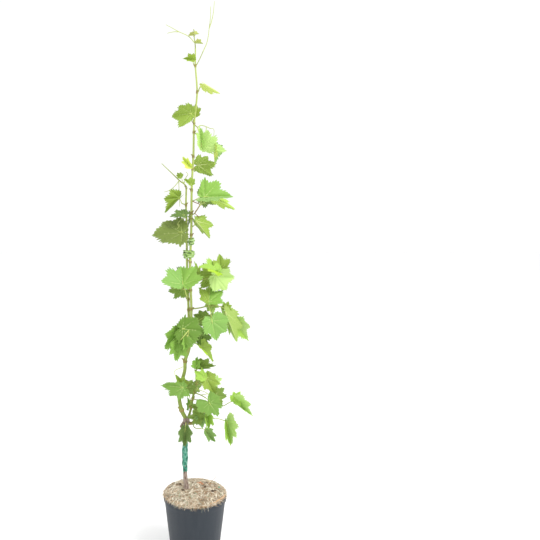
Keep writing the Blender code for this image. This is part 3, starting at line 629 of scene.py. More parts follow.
# Fibres of the filling, in the order of their slots after the ground.
FIBRE_TONES = {
    "tan": srgb(204, 188, 164),
    "straw": srgb(232, 224, 204),
    "brown": srgb(160, 134, 106),
    "dark": srgb(92, 78, 64),
    "sage": srgb(170, 176, 150),
    "rust": srgb(198, 164, 128),
    "wax": srgb(60, 150, 124),
    "chip": srgb(190, 132, 96),
}


def colour(name, what, default):
    """A colour that a user may change."""
    return FloatVectorProperty(
        name=name, description=what, default=default, subtype="COLOR", size=3, min=0.0, max=1.0
    )


def length(name, what, default, low=0.0, high=100.0):
    """A size in millimetres that a user may change."""
    return FloatProperty(
        name=name, description=what + ", in millimetres", default=default, min=low, max=high
    )


def fraction(name, what, default, high=1.0):
    """A share that a user may change."""
    return FloatProperty(name=name, description=what, default=default, min=0.0, max=high)


def count(name, what, default, low=3, high=20000):
    """A whole number that a user may change."""
    return IntProperty(name=name, description=what, default=default, min=low, max=high)


class GrapevinePotSettings(PropertyGroup):
    """Sizes and colours of the pot and of the fibres that fill it."""

    steps: count("Pot Steps", "Faces round the pot", 160)
    shell: colour("Pot Colour", "Moulded plastic of the pot", srgb(25, 35, 45))
    # Colour of the specks of dust, and also of the lighter upright streaks, which are partly dust and partly
    # painted sheen.
    dust_and_sheen: colour("Dust Colour", "Dust and scuffs on the plastic", srgb(76, 82, 86))
    strands: count("Strands", "Fibres strewn over the top of the filling", 5200, 0)
    strand_length: length("Strand Length", "Longest usual fibre", 24.0)
    chips: count("Chips", "Crumbs of bark and pith among the fibres", 1500, 0)
    filling: colour("Filling Colour", "Ground between the fibres", srgb(158, 134, 106))


class GrapevineWoodSettings(PropertyGroup):
    """Relief and colours of the trunk, the canes, the wax and the ties."""

    bark_depth: length("Bark Depth", "How far the strips of old bark stand out", 0.45)
    rib_depth: length("Rib Depth", "How far the ribs of a young cane stand out", 0.10)
    node_swell: fraction("Node Swell", "How much a cane widens at a node", 0.42)
    bark: colour("Bark Colour", "Weathered strips of the trunk's bark", srgb(143, 125, 112))
    bark_gaps: colour("Bark Gap Colour", "Dark gaps between the strips of bark", srgb(83, 66, 55))
    cane: colour("Cane Colour", "Green skin of the upper canes", srgb(172, 186, 101))
    ripe_cane: colour("Ripe Cane Colour", "Browned skin of the lower canes", srgb(128, 146, 60))
    node: colour("Node Colour", "Brown skin round a node", srgb(135, 114, 68))
    wax: colour("Wax Colour", "Grafting wax", srgb(34, 130, 104))
    ribbon: colour("Ribbon Colour", "Ribbon that ties the canes", srgb(152, 188, 94))


class GrapevineLeafSettings(PropertyGroup):
    """Sizes and colours of the leaves, their stalks and the tendrils."""

    thickness: length("Leaf Thickness", "Thickness of a blade in its middle", 0.45)
    tooth: fraction("Tooth Depth", "Depth of the margin's teeth, as a share of the leaf", 0.10)
    vein_width: length("Vein Width", "Width of a midrib where it leaves the stalk", 3.0)
    wave: fraction("Wave", "Height of the waves along the margin, as a share of the leaf", 0.055)
    pucker: fraction("Pucker", "Depth of the furrows along the main veins", 0.040)
    tip: colour("Tip Tone", "Leaves still unfolding at the tip", srgb(169, 177, 96))
    # Painted light: brightened for the sun on these thin leaves.
    chartreuse: colour("Chartreuse Tone", "Thin young leaves with the sun on them", srgb(212, 227, 106))
    olive: colour("Olive Tone", "Young leaves high on the canes", srgb(152, 177, 68))
    # Painted light: brightened for the sun shining through these thin leaves.
    lemon: colour("Lemon Tone", "Thin folded leaves with the sun through them", srgb(178, 214, 60))
    lime: colour("Lime Tone", "Folded edges that show yellow green", srgb(167, 203, 51))
    # Painted light: lightened for leaves that face the light.
    pale: colour("Pale Tone", "Pale leaves that look at the light", srgb(178, 210, 122))
    light: colour("Light Tone", "Light green leaves", srgb(153, 191, 78))
    fresh: colour("Fresh Tone", "Most of the leaves", srgb(139, 166, 65))
    green: colour("Green Tone", "Full green leaves in the middle", srgb(130, 172, 72))
    leaf: colour("Leaf Tone", "Full green leaves low down", srgb(114, 152, 66))
    # Painted shade: a duller green for a leaf turned from the light.
    moss: colour("Moss Tone", "Young leaf with its back to the light", srgb(132, 162, 28))
    # Painted shade: duller for leaves turned from the light.
    mid: colour("Mid Tone", "Duller leaves turned from the light", srgb(122, 149, 65))
    rich: colour("Rich Tone", "Large leaf over the middle of the crown", srgb(98, 134, 46))
    dull: colour("Dull Tone", "Large olive leaf over the tie", srgb(113, 131, 60))
    deep: colour("Deep Tone", "Deep green leaves behind", srgb(87, 116, 39))
    shade: colour("Shade Tone", "Darkest leaf low on the trunk", srgb(106, 133, 70))
    bluish: colour("Bluish Tone", "Leaves with a cool bloom", srgb(139, 174, 100))
    # Painted sheen: lightened and cooled for the sheen of the leaf's gloss.
    sheen: colour("Sheen Tone", "Cool leaf with a sheen", srgb(130, 173, 84))
    vein: colour("Vein Tint", "Tint that the veins take", srgb(196, 210, 138))
    under: colour("Underside Tint", "Tint that the undersides take", srgb(156, 180, 108))
    stalk: colour("Stalk Colour", "Stalks of the leaves", srgb(186, 198, 108))
    stem: colour("Stem Colour", "Short green stems of the leaf masses", srgb(152, 166, 83))
    tendril: colour("Tendril Colour", "Tendrils", srgb(178, 190, 112))
    dry_twig: colour("Dry Twig Colour", "Dried tips of twigs", srgb(150, 112, 70))


class GrapevineStageSettings(PropertyGroup):
    """Light and camera round the finished plant."""

    sky: fraction("Sky Strength", "Strength of the white surroundings", 1.04, 4.0)
    key: FloatProperty(name="Key Light", description="Main light", default=75.0, unit="POWER")
    fill: FloatProperty(name="Fill Light", description="Side light", default=9.0, unit="POWER")
    lens: FloatProperty(name="Lens", description="Focal length in millimetres", default=40.92)


SETTINGS = {
    "grapevine_pot": GrapevinePotSettings,
    "grapevine_wood": GrapevineWoodSettings,
    "grapevine_leaf": GrapevineLeafSettings,
    "grapevine_stage": GrapevineStageSettings,
}


class Shape:
    """Points and faces of one piece, gathered part by part; each face keeps its slot number."""

    def __init__(self):
        self.points = []
        self.faces = {4: [], 3: []}
        self.slots = {4: [], 3: []}
        self.size = 0

    def add(self, points, quads=(), tris=(), slot=0, tri_slot=None):
        """Takes points in millimetres and faces numbered within them; slots may go by face."""
        points = np.asarray(points, float).reshape(-1, 3)
        tri_slot = slot if tri_slot is None else tri_slot
        for corners, faces, mark in ((4, quads, slot), (3, tris, tri_slot)):
            faces = np.asarray(faces, int).reshape(-1, corners)
            self.faces[corners].append(faces + self.size)
            self.slots[corners].append(np.broadcast_to(mark, len(faces)))
        self.points.append(points)
        self.size += len(points)

    def mesh(self, name):
        """A mesh in metres, standing on the floor, with its faces shaded smooth."""
        points = np.vstack(self.points) + (0.0, 0.0, RIM_HEIGHT)
        quads, tris = np.vstack(self.faces[4]), np.vstack(self.faces[3])
        corners = np.concatenate((quads.ravel(), tris.ravel()))
        starts = np.concatenate(
            (np.arange(len(quads)) * 4, len(quads) * 4 + np.arange(len(tris)) * 3)
        )
        made = bpy.data.meshes.new(name)
        made.vertices.add(len(points))
        made.vertices.foreach_set("co", (points * MM).astype(np.float32).ravel())
        made.loops.add(len(corners))
        made.loops.foreach_set("vertex_index", corners.astype(np.int32))
        made.polygons.add(len(starts))
        made.polygons.foreach_set("loop_start", starts.astype(np.int32))
        slots = np.concatenate(self.slots[4] + self.slots[3]).astype(np.int32)
        made.polygons.foreach_set("material_index", slots)
        made.update(calc_edges=True)
        made.validate()
        made.shade_smooth()
        return made


def place(name, shape, looks, stands_for, angle=50):
    """The piece's object, at the origin: it rides the body and stands for these CAD nodes."""
    mesh = shape.mesh(name)
    mesh.set_sharp_from_angle(angle=math.radians(angle))
    for look in looks:
        mesh.materials.append(look)
    obj = bpy.data.objects.new(name, mesh)
    bpy.context.scene.collection.objects.link(obj)
    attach(obj, BODY)
    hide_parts(*stands_for)
    return obj


def add_node(tree, kind, inputs, **settings):
    """A shader node whose inputs are set to values or linked to other nodes' sockets."""
    made = tree.nodes.new(kind)
    for key, value in settings.items():
        setattr(made, key, value)
    for key, value in inputs.items():
        if isinstance(value, bpy.types.NodeSocket):
            tree.links.new(value, made.inputs[key])
        else:
            made.inputs[key].default_value = value
    return made


def stretched(tree, size, stretch=(1.0, 1.0, 1.0)):
    """Object coordinates counted in grains of this size in millimetres, stretched by axis."""
    where = tree.nodes.new("ShaderNodeTexCoord").outputs["Object"]
    scale = tuple(1.0 / (size * MM * factor) for factor in stretch)
    return add_node(tree, "ShaderNodeMapping", {"Vector": where, "Scale": scale}).outputs["Vector"]


def noise(tree, size, stretch=(1.0, 1.0, 1.0), detail=3.0, roughness=0.55):
    """A noise between 0 and 1, with grains of this size in millimetres."""
    made = add_node(
        tree,
        "ShaderNodeTexNoise",
        {
            "Vector": stretched(tree, size, stretch),
            "Scale": 1.0,
            "Detail": detail,
            "Roughness": roughness,
        },
    )
    return made.outputs["Fac"]


def ramp(tree, factor, stops):
    """Colour that runs through stops of (position, colour)."""
    made = add_node(tree, "ShaderNodeValToRGB", {"Fac": factor})
    bar = made.color_ramp.elements
    while len(bar) < len(stops):
        bar.new(0.5)
    for element, (position, tone) in zip(bar, stops):
        element.position = position
        element.color = (*tone, 1.0)
    return made.outputs["Color"]


def new_look(name, tone, grain, rough, depth, stretch=(1.0, 1.0, 1.0), specular=0.5):
    """A finish of one base colour, whose roughness and bump come from a grain of noise.

    grain is the size of the grain and depth its height, both in millimetres; rough is the
    lowest and the highest roughness.
    """
    made = bpy.data.materials.new(name)
    made.use_nodes = True
    tree = made.node_tree
    shader = tree.nodes["Principled BSDF"]
    shader.inputs["Base Color"].default_value = (*tone, 1.0)
    shader.inputs["Specular IOR Level"].default_value = specular
    height = noise(tree, grain, stretch)
    spread = add_node(
        tree,
        "ShaderNodeMapRange",
        {"Value": height, "From Min": 0.3, "From Max": 0.7, "To Min": rough[0], "To Max": rough[1]},
    )
    tree.links.new(spread.outputs["Result"], shader.inputs["Roughness"])
    bump = add_node(
        tree, "ShaderNodeBump", {"Height": height, "Strength": 1.0, "Distance": depth * MM}
    )
    tree.links.new(bump.outputs["Normal"], shader.inputs["Normal"])
    return made


def paint(look, tone):
    """Links a colour socket to the look's Base Color."""
    tree = look.node_tree
    tree.links.new(tone, tree.nodes["Principled BSDF"].inputs["Base Color"])


def mixed(first, second, share):
    """Colour that lies this share of the way from the first to the second."""
    return tuple(a + (b - a) * share for a, b in zip(first, second))


def grid_faces(rows, columns, wrap_rows=False, wrap_columns=False):
    """Faces between neighbours of a grid numbered row by row.

    They look along the cross product of the rows' and the columns' directions.
    """
    row = np.arange(rows if wrap_rows else rows - 1)[:, None]
    column = np.arange(columns if wrap_columns else columns - 1)[None, :]
    row_after, column_after = (row + 1) % rows, (column + 1) % columns
    corners = (
        row * columns + column,
        row_after * columns + column,
        row_after * columns + column_after,
        row * columns + column_after,
    )
    return np.stack(np.broadcast_arrays(*corners), -1).reshape(-1, 4)


def smooth_path(rows, steps):
    """Points of a Catmull-Rom curve through the rows, with this many steps to a span."""
    rows = np.array(rows, float)
    ends = np.vstack((2 * rows[0] - rows[1], rows, 2 * rows[-1] - rows[-2]))
    a, b, c, d = (ends[k : k + len(rows) - 1, None, :] for k in range(4))
    t = (np.arange(steps) / steps)[None, :, None]
    rising = 2 * b + (c - a) * t + (2 * a - 5 * b + 4 * c - d) * t**2
    spans = (rising + (3 * b - a - 3 * c + d) * t**3) / 2
    return np.vstack((spans.reshape(-1, rows.shape[1]), rows[-1]))


def spaced(rows, gap):
    """Rows moved along their own path so that they lie this many millimetres apart."""
    fine = smooth_path(rows, 24)
    walked = np.append(0.0, np.cumsum(np.linalg.norm(np.diff(fine[:, :3], axis=0), axis=1)))
    places = np.linspace(0.0, walked[-1], max(3, round(walked[-1] / gap) + 1))
    return np.stack([np.interp(places, walked, column) for column in fine.T], 1)


def unit(vectors):
    """The vectors, divided by their own lengths."""
    return vectors / np.maximum(np.linalg.norm(vectors, axis=-1, keepdims=True), 1e-9)


def across(path):
    """Two unit directions across a path, square to each other and to the path."""
    along = unit(np.gradient(path, axis=0))
    axis = np.eye(3)[np.argmin(np.abs(along).max(axis=0))]
    first = unit(np.cross(along, axis))
    return first, np.cross(along, first)


def tube_points(rows, angles, radii):
    """Circles carried along rows (right, back, up, radius): a point at each angle of a circle."""
    first, second = across(rows[:, :3])
    spokes = np.cos(angles)[..., None] * first[:, None] + np.sin(angles)[..., None] * second[:, None]
    return rows[:, None, :3] + radii[..., None] * spokes


def tube(shape, rows, sides=10, relief=None, slot=0):
    """A closed bar along rows; relief(angles, rows) gives millimetres added to the radius."""
    rows = np.asarray(rows, float)
    angles = np.broadcast_to(np.arange(sides) * FULL_TURN / sides, (len(rows), sides))
    radii = np.broadcast_to(rows[:, 3:4], angles.shape)
    if relief is not None:
        radii = np.maximum(radii + relief(angles, rows), 0.05)
    points = tube_points(rows, angles, radii)
    quads = grid_faces(len(rows), sides, wrap_columns=True)[:, ::-1]
    near = np.arange(sides)
    after = (near + 1) % sides
    first, last = len(rows) * sides, len(rows) * sides + 1
    top = (len(rows) - 1) * sides
    start = np.stack((np.full(sides, first), after, near), 1)
    end = np.stack((np.full(sides, last), top + near, top + after), 1)
    everything = np.vstack((points.reshape(-1, 3), rows[:1, :3], rows[-1:, :3]))
    by_face = np.repeat(slot, sides) if np.ndim(slot) else slot
    shape.add(everything, quads, np.vstack((start, end)), by_face, np.ravel(slot)[0])


def waves(points, size, seed, layers=7):
    """Smooth random relief between -1 and 1: a mean of sine waves in seeded directions."""
    rng = np.random.default_rng(seed)
    directions = unit(rng.normal(size=(layers, points.shape[-1])))
    pace = FULL_TURN / (size * rng.uniform(0.6, 1.7, layers))
    phase = rng.uniform(0, FULL_TURN, layers)
    return np.sin(points @ (directions * pace[:, None]).T + phase).sum(-1) / layers * 1.6


def turned(shape, profile, steps, slot=0):
    """A closed solid of revolution; the profile runs from the bottom pole round to the top pole.

    Each inner row of the profile (radius, height) becomes a circle of this many steps, and the
    two poles are single points with a fan of triangles.
    """
    radius, height = np.array(profile[1:-1], float).T[..., None]
    angle = np.arange(steps) * FULL_TURN / steps
    rings = np.stack(
        np.broadcast_arrays(radius * np.cos(angle), radius * np.sin(angle), height), -1
    )
    poles = [(0, 0, profile[0][1]), (0, 0, profile[-1][1])]
    close(shape, rings, poles, slot)


def close(shape, rings, poles, slot):
    """Adds rings of points as a closed skin with a pole at each end."""
    rows, steps = rings.shape[:2]
    near = np.arange(steps)
    after = (near + 1) % steps
    first, last = rows * steps, rows * steps + 1
    top = (rows - 1) * steps
    fans = np.vstack(
        (
            np.stack((np.full(steps, first), after, near), 1),
            np.stack((np.full(steps, last), top + near, top + after), 1),
        )
    )
    quads = grid_faces(rows, steps, wrap_columns=True)[:, ::-1]
    shape.add(np.vstack((rings.reshape(-1, 3), poles)), quads, fans, slot)


def ground(x, y):
    """Height of the filling's top: the part's dome, with lumps, running down over the rim."""
    radius = np.hypot(x, y)
    places, heights = np.array(SOIL_PROFILE).T
    dome = np.interp(radius, places, heights) - 0.9 * np.maximum(radius - places[-1], 0)
    spot = np.stack((x, y), -1)
    lumps = sum(rise * waves(spot, size, SEED + k) for k, (rise, size) in enumerate(LUMPS))
    return dome + lumps * np.clip((places[-1] - radius) / 9, 0.25, 1)


def strands(shape, rng, middle, reach, width, flat, lift, slots):
    """Bent fibres laid over the filling.

    Each is a path of five points through its middle along a seeded heading that turns on the
    way, raised above the ground by its lift, with three corners round every point; flat is how
    thick it is for its width.
    """
    share = np.linspace(-0.5, 0.5, 5)
    heading = rng.uniform(0, FULL_TURN, len(middle))[:, None]
    turn = heading + rng.normal(0, 1.1, len(middle))[:, None] * share
    x = middle[:, :1] + reach[:, None] * share * np.cos(turn)
    y = middle[:, 1:] + reach[:, None] * share * np.sin(turn)
    tilt = rng.normal(0, 0.10, len(middle))[:, None] * reach[:, None] * share
    arch = lift[:, None] * (1.0 + 2.0 * (0.25 - share**2))
    path = np.stack((x, y, ground(x, y) + np.abs(tilt) + arch), -1)
    side = np.stack((-np.sin(turn), np.cos(turn), np.zeros_like(turn)), -1)
    thin = width[:, None] * np.array((0.35, 0.9, 1.0, 0.9, 0.35))
    corner = np.radians((90, 210, 330))
    out = side[:, :, None, :] * np.cos(corner)[:, None] * thin[..., None, None]
    rise = np.array((0, 0, 1.0)) * (np.sin(corner) * flat)[:, None] * thin[..., None, None]
    points = path[:, :, None, :] + out + rise
    one = grid_faces(5, 3, wrap_columns=True)[:, ::-1]
    ends = np.array(((2, 1, 0), (12, 13, 14)))
    starts = np.arange(len(middle))[:, None, None] * 15
    quads = (one + starts).reshape(-1, 4)
    tris = (ends + starts).reshape(-1, 3)
    shape.add(points, quads, tris, np.repeat(slots, len(one)), np.repeat(slots, len(ends)))


def crumbs(shape, rng, middle, size, slots, lift=0.25):
    """Small lumps: octahedra stretched and turned by seeded amounts, lifted off the ground."""
    corners = np.array(((1, 0, 0), (0, 1, 0), (-1, 0, 0), (0, -1, 0), (0, 0, 1), (0, 0, -1)), float)
    faces = ((0, 1, 4), (1, 2, 4), (2, 3, 4), (3, 0, 4), (1, 0, 5), (2, 1, 5), (3, 2, 5), (0, 3, 5))
    number = len(middle)
    stretch = rng.uniform((0.6, 0.4, 0.25), (1.3, 0.9, 0.6), (number, 3)) * size[:, None]
    local = corners * rng.uniform(0.7, 1.2, (number, 6, 1)) * stretch[:, None, :]
    turn = rng.uniform(0, FULL_TURN, number)[:, None]
    x = local[..., 0] * np.cos(turn) - local[..., 1] * np.sin(turn)
    y = local[..., 0] * np.sin(turn) + local[..., 1] * np.cos(turn)
    height = ground(middle[:, 0], middle[:, 1]) + lift * size
    centre = np.stack((middle[:, 0], middle[:, 1], height), -1)
    points = centre[:, None, :] + np.stack((x, y, local[..., 2]), -1)
    tris = (np.array(faces) + np.arange(number)[:, None, None] * 6).reshape(-1, 3)
    shape.add(points, (), tris, 0, np.repeat(slots, len(faces)))


def dealt(rng, number, shares):
    """Seeded slots for so many pieces, dealt out by (slot, share)."""
    slots, weights = zip(*shares)
    return rng.choice(slots, number, p=weights)


def strewn(rng, number, inner, outer):
    """Seeded places, evenly strewn over a ring of the filling."""
    radius = np.sqrt(rng.uniform(inner**2, outer**2, number))
    angle = rng.uniform(0, FULL_TURN, number)
    return np.stack((radius * np.cos(angle), radius * np.sin(angle)), -1)


def node_swelling(heights, nodes, spread=3.6):
    """1 at a node and less with distance, by a bell curve."""
    away = heights[..., None] - np.array(nodes, float)
    return np.exp(-((away / spread) ** 2)).max(-1)


def cane(shape, rows, nodes, settings, gap=2.4, sides=18):
    """A ribbed young limb: a tapering bar with fine ribs, swollen and browned at its nodes.

    Seven cosine ribs twist slowly upwards, seeded waves make the radius uneven, and it grows by
    the nodes' bell curves.
    """
    rows = spaced(rows, gap)

    def ribbed(angles, rows):
        ribs = settings.rib_depth * np.cos(7 * angles + rows[:, 2:3] * 0.012)
        uneven = 0.06 * rows[:, 3:4] * waves(rows[:, None, :3] + 9 * np.cos(angles)[..., None], 30, 5)
        swell = settings.node_swell * node_swelling(rows[:, 2:3], nodes) * rows[:, 3:4]
        return ribs + uneven + swell

    middle = (rows[1:, 2] + rows[:-1, 2]) / 2
    slots = (node_swelling(middle, nodes) > 0.45).astype(int)
    tube(shape, rows, sides, ribbed, slots)
    for k, height in enumerate(nodes):
        bud(shape, rows, height, 1 if k % 2 else -1)


def bud(shape, rows, height, way):
    """A small pointed bud that stands off a node on one side, leaning up along the limb."""
    k = int(np.argmin(np.abs(rows[:, 2] - height)))
    base, radius = rows[k, :3], rows[k, 3]
    size = 1.1 + 0.75 * radius
    out = unit(np.array((way * 0.85, -0.35, 0.75)))
    steps = np.array((0.2, 0.6, 1.1, 1.6, 2.1, 2.5))
    widths = np.array((0.55, 0.75, 0.72, 0.55, 0.30, 0.08)) * size * 0.75
    path = base + out * (radius * 0.5 + steps[:, None] * size)
    tube(shape, np.column_stack((path, widths)), 8, slot=1)


def strip(shape, path, width, turn, thickness, slot=0):
    """A closed loop of soft ribbon round an upright path.

    The ribbon's oval section is carried along the loop; turn is the angle, at each point, by
    which its width leans out from upright.
    """
    along = unit(np.roll(path, -1, axis=0) - np.roll(path, 1, axis=0))
    upright = np.array((0, 0, 1.0))
    out = unit(np.cross(along, upright))
    wide = np.cos(turn)[:, None] * upright + np.sin(turn)[:, None] * out
    thick = np.cross(wide, along)
    angle = np.arange(12) * FULL_TURN / 12
    shares = np.sign(np.cos(angle)) * np.abs(np.cos(angle)) ** 0.8
    section = (
        shares[:, None] * wide[:, None, :] * width[:, None, None]
        + np.sin(angle)[:, None] * thick[:, None, :] * thickness
    )
    points = path[:, None, :] + section
    quads = grid_faces(len(path), 12, wrap_rows=True, wrap_columns=True)
    shape.add(points, quads, (), slot)


def oval(centre, half_widths, lean, steps=72):
    """A closed oval path round a centre, tipped so that its height rises and falls by lean."""
    angle = np.arange(steps) * FULL_TURN / steps
    x = centre[0] + half_widths[0] * np.cos(angle)
    y = centre[1] + half_widths[1] * np.sin(angle)
    return angle, np.stack((x, y, centre[2] + lean * np.cos(angle - 1.0)), -1)


def own_form(leaf):
    """Growth of the six lobes, fullness of the bays and growth of the tip, 1 where not given."""
    return leaf.form + (1,) * (8 - len(leaf.form))


def growth(leaf, degrees):
    """How far the leaf's own lobes outgrow the common margin, by degrees left of the tip."""
    form = own_form(leaf)
    left, right, tip = form[:3], form[3:6], form[7]
    places = (-180, *(-angle for angle in LOBE_ANGLES[::-1]), 0, *LOBE_ANGLES, 180)
    return np.interp(degrees, places, (1, *right[::-1], tip, *left, 1))


def margin(leaf, teeth):
    """Angle and reach of the margin's points about the stalk's end, and how far each is a tooth.

    The reach eases between the lobes' points and the bays, times the growth of the leaf's own
    lobes, and the bays are filled by its fullness. The points lie evenly along the
    margin, four to a tooth, and a tooth is a bulging triangle over them.
    """
    fine = np.linspace(-180.0, 180.0, 3601)
    angles, shares = np.array(LOBES).T
    shares = np.where(np.isin(angles, BAYS), shares * own_form(leaf)[6], shares)
    span = np.clip(np.searchsorted(angles, np.abs(fine), side="right") - 1, 0, len(angles) - 2)
    u = (np.abs(fine) - angles[span]) / (angles[span + 1] - angles[span])
    eased = 0.55 * u + 0.45 * (3 * u**2 - 2 * u**3)
    reach = (shares[span] + (shares[span + 1] - shares[span]) * eased) * growth(leaf, fine)
    edge = reach[:, None] * np.stack((np.cos(np.radians(fine)), np.sin(np.radians(fine))), 1)
    walked = np.append(0.0, np.cumsum(np.linalg.norm(np.diff(edge, axis=0), axis=1)))
    steps = np.arange(teeth * 4)
    places = steps / len(steps) * walked[-1]
    phase = (steps % 4) / 4
    tooth = 1 - np.abs(2 * phase - 1) ** 1.3
    out = np.interp(places, walked, reach)
    return np.radians(np.interp(places, walked, fine)), out, tooth * np.clip(out / 0.5, 0.2, 1)


def vein_paths(leaf):
    """Vein paths on the flat leaf of length 1, as (points, widths): main veins, then side veins.

    A main vein runs straight from the stalk's end to near the margin. Side veins leave it at
    even steps, at 45 degrees, and end half way to the next main vein or near the margin.
    """
    around, out, _ = margin(leaf, 60)
    angles = np.radians([-v for v in MAIN_VEINS[:0:-1]] + list(MAIN_VEINS))
    share = np.linspace(0, 1, 9)
    ends = np.interp(angles, around, out) * 0.97
    line = ends[:, None] * share
    main = np.stack((line * np.cos(angles)[:, None], line * np.sin(angles)[:, None]), -1)
    main_widths = (0.45 + 0.55 * ends)[:, None] * (1 - 0.82 * share)
    side, side_widths = [], []
    gaps = np.diff(np.concatenate((angles[:1] - 0.9, angles, angles[-1:] + 0.9))) / 2
    for k, angle in enumerate(angles):
        for way, gap in ((-1, gaps[k]), (1, gaps[k + 1])):
            for start in np.arange(SIDE_VEIN_STEP, ends[k] - 0.06, SIDE_VEIN_STEP):
                most = start * math.tan(gap) / max(0.2, 1 - math.tan(gap))
                off = np.linspace(0, min(most, 0.5), 25)
                x, y = start + off, way * off
                point = np.stack(
                    (x * np.cos(angle) - y * np.sin(angle), x * np.sin(angle) + y * np.cos(angle)), -1
                )
                reach = np.interp(np.arctan2(point[:, 1], point[:, 0]), around, out)
                inside = np.hypot(*point.T) < 0.94 * reach
                last = int(np.argmin(inside)) - 1 if not inside.all() else len(off) - 1
                if last < 3:
                    continue
                side.append(point[np.linspace(0, last, 4).astype(int)])
                side_widths.append(0.42 * (1 - 0.5 * start) * np.array((1.0, 0.8, 0.6, 0.3)))
    return (main, main_widths), (np.array(side), np.array(side_widths))


def leaf_axes(facing, rise, clock):
    """Directions of the leaf's tip, its left side and its upper face."""
    a, e, c = map(math.radians, (facing, rise, clock))
    face = np.array((math.sin(a) * math.cos(e), -math.cos(a) * math.cos(e), math.sin(e)))
    up = np.array((-math.sin(a) * math.sin(e), math.cos(a) * math.sin(e), math.cos(e)))
    tip = math.cos(c) * up + math.sin(c) * np.cross(up, face)
    return tip, np.cross(face, tip), face


def relief(x, y, seed, settings):
    """Height of the blade over its fold, as a share of its length.

    Bell-shaped furrows follow the main veins, and shallower ones the side veins at 45 degrees
    to them. Two rows of waves grow with the square of the distance from the stalk's end, and
    so does an even curl.
    """
    rng = np.random.default_rng(seed)
    radius, angle = np.hypot(x, y), np.arctan2(y, x)
    offsets = np.abs(np.abs(np.degrees(angle))[..., None] - np.array(MAIN_VEINS, float)).min(-1)
    aside = radius * np.sin(np.radians(offsets))
    along = radius * np.cos(np.radians(offsets))
    steps = (along - aside) / SIDE_VEIN_STEP
    furrow = np.exp(-((aside / 0.05) ** 2))
    side_furrow = np.exp(-(((steps - np.round(steps)) / 0.20) ** 2))
    hollow = settings.pucker * (furrow + 0.4 * side_furrow * np.clip(aside / 0.06, 0, 1))
    wave = np.sin(rng.integers(4, 7) * angle + rng.uniform(0, FULL_TURN))
    wave = wave + 0.45 * np.sin(rng.integers(9, 13) * angle + rng.uniform(0, FULL_TURN))
    curl = rng.uniform(-0.01, 0.06)
    return radius**2 * (settings.wave * wave - curl) - hollow * np.clip(radius / 0.1, 0, 1)


def on_blade(leaf, x, y, lift=0.0):
    """Points of a blade at shares of its length along and beside the midrib.

    Each half is folded up about a rounded midrib, raised by the lift, then all is bent down
    along an arc.
    """
    fold = np.radians(np.where(y > 0, leaf.left_fold, leaf.right_fold))
    bend = math.radians(leaf.droop)
    out = np.hypot(y, FOLD_ROUNDING) - FOLD_ROUNDING
    side = y - np.sign(y) * (1 - np.cos(fold)) * out
    height = lift + np.sin(fold) * out
    along = np.sin(x * bend) / bend - height * np.sin(x * bend)
    raised = (np.cos(x * bend) - 1) / bend + height * np.cos(x * bend)
    tip, left, face = leaf_axes(leaf.facing, leaf.rise, leaf.clock)
    spread = along[..., None] * tip + side[..., None] * left + raised[..., None] * face
    return np.array((leaf.right, leaf.back, leaf.up)) + leaf.length * spread


def blade_and_normals(leaf, x, y, seed, settings):
    """Points of the blade with its relief, and the directions square to it by differences."""

    def at(dx, dy):
        return on_blade(leaf, x + dx, y + dy, relief(x + dx, y + dy, seed, settings))

    step = 0.012
    normals = unit(np.cross(at(step, 0) - at(-step, 0), at(0, step) - at(0, -step)))
    return at(0, 0), normals


def blade(shape, leaf, seed, settings, slots):
    """The blade: rings about the stalk's end, as a thin lens whose two faces share the margin.

    Its teeth are uneven, and some stand out of the rest. The slots are those of the
    upper face and the underside, for the right and the left half.
    """
    teeth, rings = next(detail for least, *detail in BLADE_DETAIL if leaf.length > least)
    angle, reach, tooth = margin(leaf, teeth)
    rng = np.random.default_rng(seed)
    uneven = rng.uniform(0.3, 1.0, teeth) + BOLD_TOOTH * (rng.random(teeth) < BOLD_TEETH)
    depth = settings.tooth * np.repeat(uneven, 4)
    share = np.linspace(0, 1, rings + 1)[1:, None] ** 0.85
    radius = share * reach + share**8 * tooth * depth
    x, y = radius * np.cos(angle), radius * np.sin(angle)
    middle, normals = blade_and_normals(leaf, x, y, seed, settings)
    half = 0.5 * settings.thickness * np.sqrt(np.maximum(1 - share**6, 0))[..., None]
    upper, lower = middle + normals * half, middle - normals * half
    hub, hub_normal = blade_and_normals(leaf, np.array((0.0,)), np.array((0.0,)), seed, settings)
    hubs = np.vstack((hub + hub_normal * half[0], hub - hub_normal * half[0]))
    columns = len(angle)
    whole = rings * columns
    points = np.vstack((upper.reshape(-1, 3), lower[:-1].reshape(-1, 3), hubs))
    top = np.arange(whole).reshape(rings, columns)
    under = np.vstack((np.arange(whole - columns).reshape(rings - 1, columns) + whole, top[-1:]))
    grid = grid_faces(rings, columns, wrap_columns=True)
    first = 2 * whole - columns
    near = np.arange(columns)
    after = (near + 1) % columns
    upper_fan = np.stack((np.full(columns, first), near, after), 1)
    under_fan = np.stack((np.full(columns, first + 1), whole + after, whole + near), 1)
    quads = np.vstack((top.ravel()[grid], under.ravel()[grid][:, ::-1]))
    on_left = (angle > 0).astype(int)
    sides = np.array(slots)
    shape.add(
        points,
        quads,
        np.vstack((upper_fan, under_fan)),
        np.concatenate([sides[:, face][np.tile(on_left, rings - 1)] for face in (0, 1)]),
        np.concatenate([sides[:, face][on_left] for face in (0, 1)]),
    )


